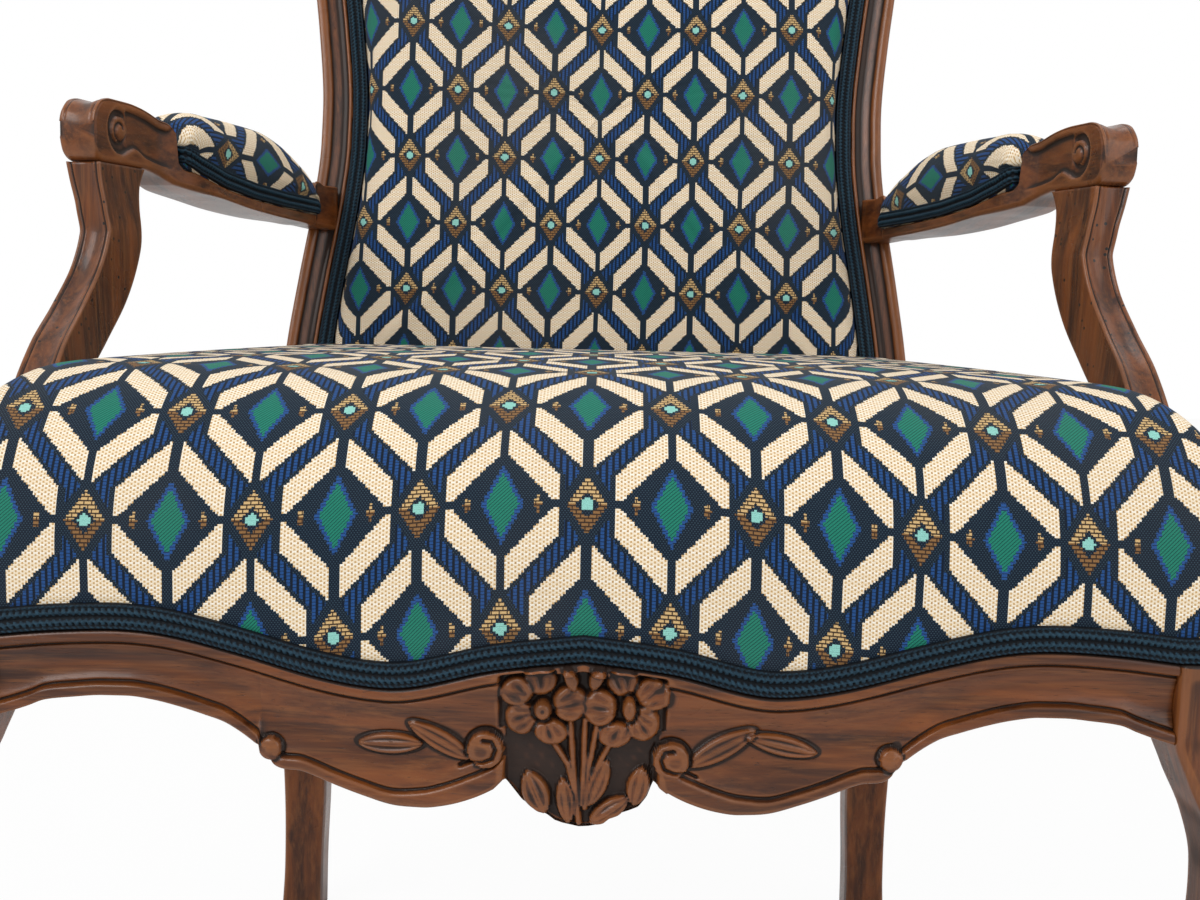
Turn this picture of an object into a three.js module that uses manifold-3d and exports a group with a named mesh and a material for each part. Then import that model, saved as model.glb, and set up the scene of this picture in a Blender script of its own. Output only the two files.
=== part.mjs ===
// Louis XV open armchair (fauteuil cabriolet): a moulded and carved walnut frame with an
// upholstered seat, back and arm pads. Millimetres, +Z up. The chair faces -Y, and +X is on the
// right of someone who looks at its front. Every piece is drawn on the right side, or whole, and
// the left one is its mirror image.
import * as THREE from "three";
import { mergeVertices } from "three/addons/utils/BufferGeometryUtils.js";
import Module from "manifold-3d";

const wasm = await Module();
wasm.setup();

// Driving dimensions of the seat frame
const frontHalfWidth = 312; // centre line to the outer face of a front leg's head
const frontReach = 287; // centre to the front face of the leg heads
const frontBow = 14; // how far the middle of the front rail swells past the leg heads
const sideBow = 7; // how far a side rail swells outwards
const headWidth = 40; // width and depth of a front leg's head
const headProud = 2; // how far the head stands out of the rails' faces
const cornerRadius = 9; // rounding of the cover at the front corners
const railTop = 392; // height of the flat top of the rails
const railDrop = 103; // from the rails' top down to the lowest carved leaf
const sideRailDrop = 56;
const railThickness = 28;
const backRailDrop = 50;
const backRailThickness = 24;

// Driving dimensions of the back
const rearHalfWidth = 250; // centre line to the outer face of a stile at the seat
const backTop = 944; // height of the crest
const backReach = 312; // centre to the front of the crest, along the rake
const backHollow = 30; // how far the sides of the back curve forward of its middle
const frameWidth = 36; // face of a stile or crest rail
const frameDepth = 29;
const crestWidth = 44; // face of the crest rail in its middle
const stileTop = 828; // height of the joint between stile and crest rail
const lowerRailFoot = 405; // underside of the lower back rail
const rearFootWidth = 33;

// Driving dimensions of the arms
const armFront = 84; // how far forward of the centre an arm support stands at its top
const armInset = 20; // a front leg's outer face to the middle of an arm at its front
const armInsetRear = 26.5; // a stile's outer face to the middle of an arm at its rear
const armRise = 146; // height of the scrolled knuckle over the seat
const armHeight = 37; // height of the knuckle over its joint
const armWidth = 22.5; // width of the knuckle
const armSeatWidth = 42; // width of the arm under its pad
const padWidth = 46;
const padHeight = 50;

// Mouldings
const bead = 5.6;
const arris = 1.2;
const groove = 3;
const cove = 5.5;
const railRebate = 5;
const frameFillet = 8.5;
const frameBead = 24; // outer edge of the frame to the inner side of its inner bead
const frameRebate = 6;

// Carving
const bouquetGround = 7.6; // depth of the ground behind the bouquet
const scrollWidth = 10; // width of the bead where it swells into a C-scroll

// Upholstery
const seatCrown = 490; // height of the top of the seat
const frontDome = 0.375; // share of the seat's half depth that its rounded edge takes
const sideDome = 0.145; // and of its half width
const seatCrownRise = 5;
const coverThickness = 2.4;
const hessianThickness = 1.4;
const webThickness = 1.2;
const webWidth = 62;
const gimpWidth = 12;
const gimpThickness = 3.4;
const backPadHeight = 34;
const hemDrop = 22; // how far the cover runs down the back of the back rail

// Joints
const gap = 0.3; // clearance between pieces that touch
const seam = 0.8; // clearance along a curved edge
const rearRoom = 3; // clearance between the seat and the lower back rail
const padRoom = 20; // and between the seat and the swell of the back's padding
const padFoot = 450; // height at which the seat has that room
const webEase = 4; // how far a webbing strip runs flat past the strip that it crosses
const tenonThickness = 10;
const tenonLength = 22;
const overrun = 30; // how far a piece runs into its neighbour before it is coped to it

const railHalf = frontHalfWidth - headWidth;
const armHalfSpan = frontHalfWidth - armInset;
const armHalfSpanRear = rearHalfWidth - armInsetRear;
const armTop = seatCrown + armRise;
const faceHalfWidth = frontHalfWidth - headProud;
const faceReach = frontReach - headProud;
const lerp = THREE.MathUtils.lerp;
const at = (x, y, z) => new THREE.Vector3(x, y, z);

// A smooth curve through sorted [place, value] knots, which doesn't overshoot them.
function throughKnots(knots) {
  const last = knots.length - 1;
  const slopes = knots.map(([, value], i) => {
    const [placeBefore, before] = knots[Math.max(i - 1, 0)];
    const [placeAfter, after] = knots[Math.min(i + 1, last)];
    const turns = i > 0 && i < last && (value - before) * (after - value) <= 0;
    return turns ? 0 : (after - before) / (placeAfter - placeBefore);
  });
  return (place) => {
    let i = 0;
    while (i < last - 1 && place > knots[i + 1][0]) i += 1;
    const [startPlace, start] = knots[i];
    const [endPlace, end] = knots[i + 1];
    const span = endPlace - startPlace;
    const t = THREE.MathUtils.clamp((place - startPlace) / span, 0, 1);
    const ease = t * t * (3 - 2 * t);
    const bend = t * (1 - t) * span;
    return lerp(start, end, ease) + bend * ((1 - t) * slopes[i] - t * slopes[i + 1]);
  };
}

// A closed solid from a position-only geometry, with its faces turned outwards.
function solidOf(geometry) {
  const bare = new THREE.BufferGeometry();
  bare.setAttribute("position", geometry.getAttribute("position").clone());
  if (geometry.index) bare.setIndex(geometry.index.clone());
  const merged = mergeVertices(bare, gap / 1000);
  const vertProperties = new Float32Array(merged.getAttribute("position").array);
  const triVerts = new Uint32Array(merged.index.array);
  const made = new wasm.Manifold(new wasm.Mesh({ numProp: 3, vertProperties, triVerts }));
  if (made.volume() > 0) return made;
  for (let i = 0; i < triVerts.length; i += 3) triVerts.subarray(i, i + 2).reverse();
  return new wasm.Manifold(new wasm.Mesh({ numProp: 3, vertProperties, triVerts }));
}

// A solid lofted through rings of points, with each face split along its shorter diagonal. Its
// ends are fans, or it closes on itself.
function loft(rings, closed = false) {
  const count = rings[0].length;
  const points = rings.flat();
  const faces = [];
  const steps = closed ? rings.length : rings.length - 1;
  for (let ring = 0; ring < steps; ring += 1) {
    const next = ((ring + 1) % rings.length) * count;
    for (let i = 0; i < count; i += 1) {
      const j = (i + 1) % count;
      const [a, b, c, d] = [ring * count + i, ring * count + j, next + j, next + i];
      const short = points[a].distanceTo(points[c]) <= points[b].distanceTo(points[d]);
      faces.push(...(short ? [a, b, c, a, c, d] : [a, b, d, b, c, d]));
    }
  }
  if (!closed) {
    const lastStart = (rings.length - 1) * count;
    const middles = [rings[0], rings[rings.length - 1]].map((ring) =>
      ring.reduce((sum, point) => sum.add(point), at(0, 0, 0)).divideScalar(count),
    );
    const first = points.push(...middles) - 2;
    for (let i = 0; i < count; i += 1) {
      const j = (i + 1) % count;
      faces.push(first, j, i, first + 1, lastStart + i, lastStart + j);
    }
  }
  const geometry = new THREE.BufferGeometry().setFromPoints(points);
  geometry.setIndex(faces);
  return solidOf(geometry);
}

// A box between two corners.
function block(low, high) {
  const size = high.clone().sub(low);
  const middle = low.clone().add(high).divideScalar(2);
  const geometry = new THREE.BoxGeometry(size.x, size.y, size.z);
  return solidOf(geometry.translate(middle.x, middle.y, middle.z));
}

const mirrored = (solid) => solid.mirror([1, 0, 0]);

function largest(solid) {
  return solid.decompose().reduce((most, body) => (body.volume() > most.volume() ? body : most));
}

// A tenon, as a box around a middle point, and the mortise that takes it with a clearance.
const tenon = (middle, half, grow = 0) =>
  block(middle.clone().sub(half).subScalar(grow), middle.clone().add(half).addScalar(grow));

// The rails' outlines. Heights are shares of railDrop under the rails' top, and places are shares
// of half the front rail.
const railFootShares = [
  [0, 0.995], [0.044, 0.98], [0.081, 0.913], [0.121, 0.786], [0.145, 0.83], [0.179, 0.876],
  [0.222, 0.915], [0.268, 0.934], [0.316, 0.93], [0.366, 0.896], [0.412, 0.857], [0.469, 0.803],
  [0.515, 0.786], [0.544, 0.7], [0.597, 0.603], [0.639, 0.563], [0.684, 0.528], [0.725, 0.503],
  [0.771, 0.488], [0.809, 0.488], [0.857, 0.498], [0.908, 0.515], [0.935, 0.543],
  [0.967, 0.572], [1, 0.598],
];
const railLineShares = [
  [0, 0.252], [0.145, 0.302], [0.327, 0.408], [0.44, 0.375], [0.585, 0.28], [0.7, 0.212],
  [0.79, 0.192], [0.9, 0.205], [1, 0.232],
];
const bowShares = [[0, 1], [0.15, 0.93], [0.35, 0.5], [0.55, 0.12], [0.75, 0], [1, 0]];
const railFoot = throughKnots(railFootShares);
const railLine = throughKnots(railLineShares);
const bow = throughKnots(bowShares);
const cornerLine = railTop - railDrop * railLine(1);

// The side rails, from the front leg at share 0 to the stile at share 1.
const sideFootShares = [
  [0, 1.1], [0.1, 0.9], [0.25, 0.8], [0.5, 0.78], [0.75, 0.84], [0.92, 1], [1, 1.1],
];
const sideFoot = throughKnots(sideFootShares);
const sideStart = headWidth - frontReach;

// The front face of the back, a surface that rakes backwards and is hollow from side to side.
const rearLineShares = [
  [0, 0.785], [0.064, 0.756], [0.138, 0.712], [0.265, 0.651], [0.36, 0.628], [0.415, 0.635],
  [0.516, 0.692], [0.657, 0.782], [0.805, 0.878], [1, 1],
];
const rearLine = throughKnots(rearLineShares);
const backFace = (x, z) =>
  backReach * rearLine(z / backTop) - backHollow * (x / rearHalfWidth) ** 2;
const onBack = (x, z, depth) => at(x, backFace(x, z) + depth, z);
const sideEnd = backFace(rearHalfWidth, railTop);
const backRailFace = backFace(rearHalfWidth - frameWidth, railTop) + arris * 3;
const rearCoverLine = backRailFace + backRailThickness;

function sidePoint(share, inset) {
  const start = at(faceHalfWidth, sideStart, 0);
  const end = at(rearHalfWidth - headProud, sideEnd, 0);
  const along = end.clone().sub(start).normalize();
  const inward = at(-along.y, along.x, 0);
  const swell = sideBow * Math.sin(Math.PI * THREE.MathUtils.clamp(share, 0, 1));
  return start.lerp(end, share).addScaledVector(inward, inset - swell);
}

function frontPoint(share, inset) {
  const face = faceReach + frontBow * bow(Math.abs(share));
  return at(share * railHalf, inset - face, 0);
}

// A moulded rail's section, as [height, depth behind the face]: bead, cove, bead and the rebate
// that the cover is nailed to.
function railSection(foot, line, footBead = bead) {
  const coveFoot = foot + footBead;
  const coveTop = line - bead;
  return [
    [foot, railThickness],
    [foot, arris],
    [foot + footBead / 2, 0],
    [coveFoot, arris],
    [coveFoot, groove],
    [lerp(coveFoot, coveTop, 0.25), cove * 0.85],
    [lerp(coveFoot, coveTop, 0.55), cove],
    [lerp(coveFoot, coveTop, 0.8), cove * 0.8],
    [coveTop, groove],
    [coveTop, arris],
    [line - bead / 2, 0],
    [line, arris],
    [line, railRebate],
    [railTop, railRebate],
    [railTop, railThickness],
  ];
}

const railRing = (pointAt, section) =>
  section.map(([height, depth]) => pointAt(depth).setZ(height));

// The middle of the front rail is sunk to a ground for the bouquet, and beside it the lower bead
// swells into C-scrolls. Places along the rail are shares of its half.
const groundEndShare = 0.127;
const scrollEndShares = [0.17, 0.34];

function frontRail() {
  const half = railFootShares.map(([place]) => place);
  const places = [...half.slice(1).reverse().map((place) => -place), ...half];
  const rail = loft(
    places.map((place) => {
      const away = Math.abs(place);
      const scroll = THREE.MathUtils.smoothstep(away, ...scrollEndShares);
      const [foot, line] = [railFoot, railLine].map((share) => railTop - railDrop * share(away));
      const section = railSection(foot, line, lerp(scrollWidth, bead, scroll));
      return railRing((inset) => frontPoint(place, inset), section);
    }),
  );
  const groundHalf = railHalf * groundEndShare;
  const groundTop = railTop - railDrop * railLine(groundEndShare) - bead;
  const groundFace = bouquetGround - faceReach - frontBow;
  const sunk = block(
    at(-groundHalf, groundFace - overrun, railTop - railDrop - overrun),
    at(groundHalf, groundFace, groundTop),
  );
  return rail.subtract(sunk);
}

// Two flowers of five petals on their stems, with buds and leaves, between the bosses of two
// C-scrolls, sprays of two leaves and small volutes. Rows: place across and drop under the rails'
// top, half length and half width as shares of railDrop, and the turn as a share of a full one.
const petalShares = [
  [-0.186, 0.334, 0.066, 0.066, 0], [-0.054, 0.44, 0.07, 0.074, 0],
  [-0.136, 0.566, 0.068, 0.054, -0.03], [-0.266, 0.511, 0.064, 0.068, 0],
  [-0.287, 0.392, 0.068, 0.058, 0.06], [0.172, 0.335, 0.064, 0.062, 0],
  [0.306, 0.392, 0.072, 0.066, -0.06], [0.266, 0.523, 0.066, 0.072, 0],
  [0.145, 0.577, 0.068, 0.054, 0.03], [0.076, 0.455, 0.068, 0.076, 0],
];
const heartShares = [[-0.173, 0.467, 0.044, 0.046, 0], [0.204, 0.453, 0.034, 0.058, 0]];
const budShares = [[-0.053, 0.325, 0.066, 0.036, 0.3], [0.061, 0.318, 0.068, 0.036, 0.19]];
const leafShares = [
  [-0.199, 0.85, 0.11, 0.066, 0.32], [-0.066, 0.883, 0.11, 0.046, 0.275],
  [0.074, 0.8, 0.118, 0.05, 0.195], [0.126, 0.922, 0.11, 0.052, 0.1],
  [0.252, 0.81, 0.095, 0.056, 0.215],
];
const sprayShares = [
  [-0.849, 0.66, 0.148, 0.05, 0.005], [-0.624, 0.633, 0.16, 0.049, -0.075],
  [0.617, 0.638, 0.169, 0.054, 0.075], [0.888, 0.631, 0.165, 0.049, -0.04],
];
const bossShares = [[-0.422, 0.656, 0.078, 0.078, 0], [0.394, 0.685, 0.078, 0.078, 0]];
const voluteShares = [[-1.388, 0.707, 0.053, 0.053, 0], [1.379, 0.693, 0.053, 0.053, 0]];
const stemShares = [
  [-0.038, 0.73, 0.25, 0.018, 0.26], [0.012, 0.71, 0.19, 0.018, 0.25],
  [0.05, 0.72, 0.19, 0.018, 0.235], [0.09, 0.75, 0.11, 0.018, 0.2],
];

// One carved form on the front rail: a dome over an oval, which rises from a depth behind the
// rail's face to a height proud of it. Its rings are shares of the oval and of the rise.
const reliefShares = [[1, 0], [0.88, 0.64], [0.5, 1]];

function relief([across, drop, long, wide, turn], sides, depth, proud) {
  const angle = turn * Math.PI * 2;
  const middle = frontPoint((across * railDrop) / railHalf, 0).setZ(railTop - drop * railDrop);
  const [length, width] = [long, wide].map((share) => share * railDrop);
  return loft(
    reliefShares.map(([size, rise]) =>
      Array.from({ length: sides }, (_, i) => {
        const around = (Math.PI * 2 * i) / sides;
        const u = length * size * Math.cos(around);
        const v = width * size * Math.sin(around);
        return middle.clone().add(
          at(
            u * Math.cos(angle) - v * Math.sin(angle),
            lerp(depth, -proud, rise),
            u * Math.sin(angle) + v * Math.cos(angle),
          ),
        );
      }),
    ),
  );
}

// Each kind with the sides of its ovals, and how far its tops stand proud of the rail's face.
function carving() {
  const kinds = [
    [petalShares, 7, arris], [heartShares, 6, arris * 2], [budShares, 6, arris / 2],
    [leafShares, 6, -arris * 2], [sprayShares, 6, -arris * 2], [bossShares, 8, arris / 2],
    [voluteShares, 6, arris / 2], [stemShares, 4, -arris * 3],
  ];
  return kinds.flatMap(([rows, sides, proud]) =>
    rows.map((row) => relief(row, sides, bouquetGround + arris, proud)),
  );
}

const sideSteps = 8;

function sideRail() {
  const rings = [];
  for (let i = 0; i <= sideSteps + 1; i += 1) {
    const past = i > sideSteps ? overrun / (sideEnd - sideStart) : 0;
    const share = Math.min(i / sideSteps, 1) + past;
    const foot = railTop - sideRailDrop * sideFoot(Math.min(share, 1));
    rings.push(railRing((inset) => sidePoint(share, inset), railSection(foot, cornerLine)));
  }
  const square = block(
    at(0, sideStart - overrun, 0),
    at(frontHalfWidth + overrun, sideStart + gap, railTop + overrun),
  );
  return loft(rings).subtract(square);
}

// A rounded rectangle around a middle point, as a ring of four points at each corner.
function roundedRing(middle, across, along, radius, height = middle.z) {
  const corners = [[1, 1], [-1, 1], [-1, -1], [1, -1]];
  return corners.flatMap(([sideX, sideY], corner) =>
    [0, 1, 2, 3].map((step) => {
      const angle = ((corner + step / 3) * Math.PI) / 2;
      const x = middle.x + sideX * (across - radius) + radius * Math.cos(angle);
      const y = middle.y + sideY * (along - radius) + radius * Math.sin(angle);
      return at(x, y, height);
    }),
  );
}

// A cabriole front leg. Its knee and foot step out along the chair's diagonal: each row has a
// share of the height, the step as a share of kneeStep, the width as a share of the head's and the
// rounding as a share of the half width.
const kneeStep = 16;
const frontLegShares = [
  [0, 0.2, 0.72, 0.5], [0.03, 0.3, 0.78, 0.6], [0.07, 0.05, 0.7, 0.7], [0.13, -0.45, 0.58, 0.7],
  [0.22, -0.6, 0.56, 0.7], [0.34, -0.3, 0.62, 0.6], [0.46, 0.2, 0.72, 0.5],
  [0.56, 0.68, 0.84, 0.4], [0.63, 0.95, 0.91, 0.34], [0.69, 1, 0.94, 0.28],
  [0.75, 0.78, 0.98, 0.22], [0.8, 0.35, 1, 0.2],
];
const headRadius = 4;

function frontLeg() {
  const middle = at(frontHalfWidth - headWidth / 2, headWidth / 2 - frontReach, 0);
  const rings = frontLegShares.map(([height, step, width, rounding]) => {
    const half = (headWidth / 2) * width;
    const out = at(kneeStep, -kneeStep, 0).multiplyScalar(step);
    return roundedRing(middle.clone().add(out), half, half, half * rounding, railTop * height);
  });
  const head = headWidth / 2;
  const rebate = railRebate + headProud;
  const inner = head - rebate / 2;
  const inset = at(-rebate / 2, rebate / 2, 0);
  const headFoot = cornerLine - railDrop * 0.28;
  rings.push(roundedRing(middle, head, head, headRadius, headFoot));
  rings.push(roundedRing(middle, head, head, headRadius, cornerLine));
  const shoulder = middle.clone().add(inset);
  rings.push(roundedRing(shoulder, inner, inner, headRadius, cornerLine + gap));
  rings.push(roundedRing(shoulder, inner, inner, headRadius, railTop));
  return loft(rings);
}

// The section of a back frame's member as [across its face from the outer edge, depth], moulded
// as above the seat, and plain as in the rear leg.
function frameSection(width, moulding, grow) {
  const moulded = [
    [0, bead], [arris, arris], [bead, 0], [frameFillet, arris], [frameFillet, groove],
    [lerp(frameFillet, frameBead, 0.25), cove * 0.75], [lerp(frameFillet, frameBead, 0.5), cove],
    [lerp(frameFillet, frameBead, 0.75), cove * 0.7], [frameBead - bead / 2, groove],
    [frameBead - bead / 2, arris], [frameBead - arris, arris / 2], [frameBead, arris],
    [frameBead, frameRebate], [width, frameRebate], [width, frameDepth], [0, frameDepth],
  ];
  const steps = moulded.length - 5;
  const plain = moulded.map((_, i) => {
    if (i === 0) return [0, bead];
    if (i >= moulded.length - 2) return [i === moulded.length - 1 ? 0 : width, frameDepth];
    if (i === moulded.length - 3) return [width, bead];
    return [lerp(arris, width - arris, (i - 1) / steps), i === 1 || i === steps + 1 ? arris : 0];
  });
  return plain.map(([across, depth], i) => {
    const u = lerp(across, moulded[i][0], moulding);
    const v = lerp(depth, moulded[i][1], moulding);
    const outer = i === 0 || i === moulded.length - 1;
    const inner = i >= steps + 1 && !outer;
    const back = i >= moulded.length - 2;
    return [u + (outer ? -grow : inner ? grow : 0), v + (back ? grow : -grow)];
  });
}

// A stile: the rear leg and the side of the back in one piece. Rows: share of backTop, outer edge
// as a share of rearHalfWidth.
const stileShares = [
  [0, 1.028], [0.05, 1.012], [0.138, 1], [0.25, 1], [0.415, 1], [0.466, 0.997], [0.516, 0.985],
  [0.572, 0.958], [0.636, 0.924], [0.689, 0.908], [0.731, 0.91], [0.784, 0.93], [0.837, 0.955],
  [0.877, 0.964],
];
const stileEdge = throughKnots(stileShares);
const outerEdge = (z) => rearHalfWidth * stileEdge(z / backTop);
const rearLegShares = [[0, 1], [0.05, 0.94], [0.14, 1.02], [0.3, 1.09], [1, 1.09]];
const rearLegWidth = throughKnots(rearLegShares);

const stileHeightShares = [
  0, 0.03, 0.07, 0.11, 0.16, 0.22, 0.28, 0.34, 0.395, 0.44, 0.47, 0.5, 0.53, 0.56, 0.59, 0.62,
  0.65, 0.68, 0.71, 0.74, 0.78, 0.82, 0.85,
];

function stile(grow = 0) {
  return loft(
    [...stileHeightShares.map((share) => share * backTop), stileTop].map((height) => {
      const z = height === 0 ? -grow : height + (height === stileTop ? grow : 0);
      const moulding = THREE.MathUtils.smoothstep(height, railTop - bead, lowerRailFoot + bead);
      const legWidth = rearFootWidth * rearLegWidth(height / backTop);
      const width = lerp(legWidth, frameWidth, moulding);
      return frameSection(width, moulding, grow).map(([across, depth]) =>
        onBack(outerEdge(height) - across, height, depth).setZ(z),
      );
    }),
  );
}

// The crest rail's outer edge, from its joint with the right stile to the middle, as shares of
// rearHalfWidth and backTop.
const crestShares = [
  [0.964, 0.877], [0.958, 0.899], [0.93, 0.922], [0.87, 0.943], [0.77, 0.955], [0.62, 0.961],
  [0.46, 0.968], [0.3, 0.981], [0.15, 0.994], [0, 1],
];
const crestStations = 18;

function crestPath() {
  const half = crestShares.map(([x, z]) => at(x * rearHalfWidth, 0, z * backTop));
  half[0].setZ(stileTop + gap);
  const other = half.slice(0, -1).reverse().map((point) => at(-point.x, 0, point.z));
  return new THREE.CatmullRomCurve3([...half, ...other], false, "centripetal");
}

// Points of the crest rail's edge with the direction in the plane of the back that points inwards.
function crestEdge() {
  const path = crestPath();
  const edge = [];
  for (let i = 0; i <= crestStations; i += 1) {
    const tangent = path.getTangentAt(i / crestStations);
    const inward = at(tangent.z, 0, -tangent.x).multiplyScalar(-1);
    if (i === 0) inward.set(-1, 0, 0);
    if (i === crestStations) inward.set(1, 0, 0);
    const share = Math.sin((Math.PI * i) / crestStations);
    edge.push({ point: path.getPointAt(i / crestStations), inward: inward.normalize(), share });
  }
  return edge;
}

function crestRail() {
  return loft(
    crestEdge().map(({ point, inward, share }) => {
      const width = lerp(frameWidth, crestWidth, share ** 4);
      return frameSection(width, 1, 0).map(([across, depth]) => {
        const place = point.clone().addScaledVector(inward, across);
        return onBack(place.x, place.z, depth);
      });
    }),
  );
}

function lowerBackRail() {
  const reach = outerEdge(lowerRailFoot) - frameWidth + tenonLength;
  const rings = [];
  const stations = 8;
  for (let i = 0; i <= stations; i += 1) {
    const x = lerp(-reach, reach, i / stations);
    rings.push(
      frameSection(frameWidth, 1, 0).map(([across, depth]) =>
        onBack(x, lowerRailFoot + across, depth),
      ),
    );
  }
  return loft(rings);
}

function backRail() {
  const reach = rearHalfWidth - frameWidth + tenonLength;
  return block(
    at(-reach, backRailFace, railTop - backRailDrop),
    at(reach, backRailFace + backRailThickness, railTop),
  );
}

// The arm's own frame: it runs from its front to the stile, and splays outwards to the front.
const armRear = backFace(armHalfSpanRear, armTop - armHeight);
const armRun = at(armHalfSpanRear - armHalfSpan, armRear + armFront, 0);
const armLength = armRun.length();
const armAlong = armRun.clone().normalize();
const armSide = at(armAlong.y, -armAlong.x, 0);
const armPoint = (along, across, z) =>
  at(armHalfSpan, -armFront, 0)
    .addScaledVector(armAlong, along)
    .addScaledVector(armSide, across)
    .setZ(z);

// An arm. Rows: place as a share of armLength, top and underside as shares of armHeight under
// armTop, and width between that of the knuckle at 0 and that of the seat of the pad at 1.
const armShares = [
  [-0.066, 0.38, 0.7, 0], [-0.058, 0.2, 0.9, 0], [-0.042, 0.06, 0.99, 0], [-0.01, 0, 1, 0],
  [0.04, 0, 1, 0], [0.1, 0.04, 1, 0], [0.15, 0.14, 1.05, 0.05], [0.2, 0.32, 1.18, 0.35],
  [0.206, 0.8, 1.19, 0.4], [0.26, 0.95, 1.25, 0.75], [0.36, 1.12, 1.31, 1], [0.5, 1.24, 1.42, 1],
  [0.66, 1.3, 1.49, 0.9], [0.8, 1.32, 1.51, 0.5], [0.87, 1.32, 1.53, 0.25],
  [0.876, 0.7, 1.53, 0.1], [0.94, 0.66, 1.55, 0], [1, 0.64, 1.57, 0],
];
const armEase = 3;
const armTail = 10; // how far the arm's end is drawn past its line before it is coped

function arm(grow = 0) {
  const rows = [...armShares, armShares[armShares.length - 1]];
  return loft(
    rows.map(([place, topShare, footShare, widthShare], i) => {
      const extra = i === rows.length - 1 ? armTail : 0;
      const along = place * armLength + extra;
      const top = armTop - armHeight * topShare + grow;
      const foot = armTop - armHeight * footShare - grow;
      const half = lerp(armWidth, armSeatWidth, widthShare) / 2 + grow;
      const ease = Math.min(armEase, (top - foot) / 3);
      return [
        [-half, foot + ease], [-half + ease, foot], [half - ease, foot], [half, foot + ease],
        [half, top - ease], [half - ease, top], [ease - half, top], [-half, top - ease],
      ].map(([across, z]) => armPoint(along, across, z));
    }),
  );
}

// An arm support, which sweeps forward as it goes down and is let into the side rail. Rows: share
// of the height from railTop to the arm's joint, how far forward of the joint and how far out of
// it as shares of supportSweep, and the section's width and its depths ahead and behind as shares.
const supportSweep = 106;
const supportWidth = 20;
const supportDepth = 35;
const supportLap = 30; // how far the support is let down into the side rail
const supportShares = [
  [0, 0.97, -0.235, 1.28, 0.9, 0.9], [0.16, 0.91, -0.195, 1.25, 0.88, 0.9],
  [0.32, 0.75, -0.15, 1.2, 0.88, 0.88], [0.457, 0.54, -0.115, 1.1, 0.9, 0.88],
  [0.553, 0.32, -0.085, 1.04, 0.92, 0.9], [0.663, 0.12, -0.075, 1, 0.96, 0.96],
  [0.784, 0.01, -0.08, 1, 1, 1], [0.88, 0, -0.055, 1, 1, 1.12], [0.95, 0, -0.025, 1.04, 1, 1.4],
  [1, 0, -0.01, 1.1, 1, 1.8],
];

function supportSection(half, ahead, behind, grow) {
  const lip = half * 0.55;
  const channel = half * 0.45 - grow * 2;
  return [
    [-half, ahead - arris], [-half + arris, ahead], [-lip, ahead], [-channel, ahead - groove],
    [channel, ahead - groove], [lip, ahead], [half - arris, ahead], [half, ahead - arris],
    [half, -behind + arris], [half - arris, -behind], [-half + arris, -behind],
    [-half, -behind + arris],
  ];
}

function armSupport(grow = 0) {
  const foot = [-supportLap / (armTop - armHeight - railTop), ...supportShares[0].slice(1)];
  const rows = [foot, ...supportShares];
  const centres = rows.map(([height, forward, out]) =>
    armPoint(-forward * supportSweep, out * supportSweep, 0).setZ(
      lerp(railTop, armTop - armHeight - gap, height),
    ),
  );
  return loft(
    rows.map(([, , , width, ahead, behind], i) => {
      const before = centres[Math.max(i - 1, 0)];
      const after = centres[Math.min(i + 1, rows.length - 1)];
      const tangent = after.clone().sub(before).normalize();
      if (i === rows.length - 1) tangent.set(0, 0, 1);
      const front = tangent.clone().cross(armSide).normalize();
      if (front.dot(armAlong) > 0) front.negate();
      const end = i === 0 ? -grow : i === rows.length - 1 ? grow : 0;
      const [half, fore, aft] = [supportWidth * width, supportDepth * ahead, supportDepth * behind]
        .map((size) => size / 2 + grow);
      return supportSection(half, fore, aft, grow).map(([across, reach]) =>
        centres[i]
          .clone()
          .addScaledVector(armSide, across)
          .addScaledVector(front, reach)
          .addScaledVector(tangent, end),
      );
    }),
  );
}

// The seat's outline at the face of the rails, as points with a height for the lower edge of the
// cover, set in by an inset.
const cornerSteps = 3;
const frontPlaces = railFootShares.map(([place]) => place).filter((_, i) => i % 3 === 0);

function seatOutline(inset) {
  const half = frontPlaces.map((place) =>
    frontPoint(place, inset).setZ(railTop - railDrop * railLine(place)),
  );
  const corner = at(faceHalfWidth - cornerRadius, cornerRadius - faceReach, 0);
  for (let i = 0; i <= cornerSteps; i += 1) {
    const angle = (Math.PI / 2) * (i / cornerSteps - 1);
    const radius = Math.max(cornerRadius - inset, gap);
    const point = at(Math.cos(angle), Math.sin(angle), 0).multiplyScalar(radius).add(corner);
    half.push(point.setZ(cornerLine));
  }
  for (let i = 0; i <= sideSteps; i += 1)
    half.push(sidePoint(i / sideSteps, inset).setZ(cornerLine));
  const rear = rearCoverLine - inset + railRebate;
  half.push(at(sidePoint(1, inset).x, rear, railTop - hemDrop));
  half.push(at(rearHalfWidth / 2, rear, railTop - hemDrop));
  const other = half.slice(1).reverse().map((point) => at(-point.x, point.y, point.z));
  return [...half, at(0, rear, railTop - hemDrop), ...other];
}

const seatMiddle = (rearCoverLine - frontReach - frontBow) / 2;
const edgeRise = gimpWidth; // the cover stands straight up this far over the rails' top
const crownShares = [0.72, 0.4, 0.1];
const quarterSteps = 4;

// A ring of the seat's dome: the outline drawn in by shares of its width and depth, and kept in
// front of the back. A ring inside the cover lies lower than its place on the dome by a sink.
function domeRing(inset, drawX, drawY, place, sink) {
  const swell = THREE.MathUtils.smoothstep(place, lowerRailFoot, padFoot);
  const room = lerp(rearRoom, padRoom, swell) + inset;
  return seatOutline(inset).map((point) => {
    const x = point.x * (1 - drawX);
    const y = lerp(point.y, seatMiddle, drawY);
    return at(x, Math.min(y, backFace(x, place) - room), place - sink);
  });
}

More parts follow.
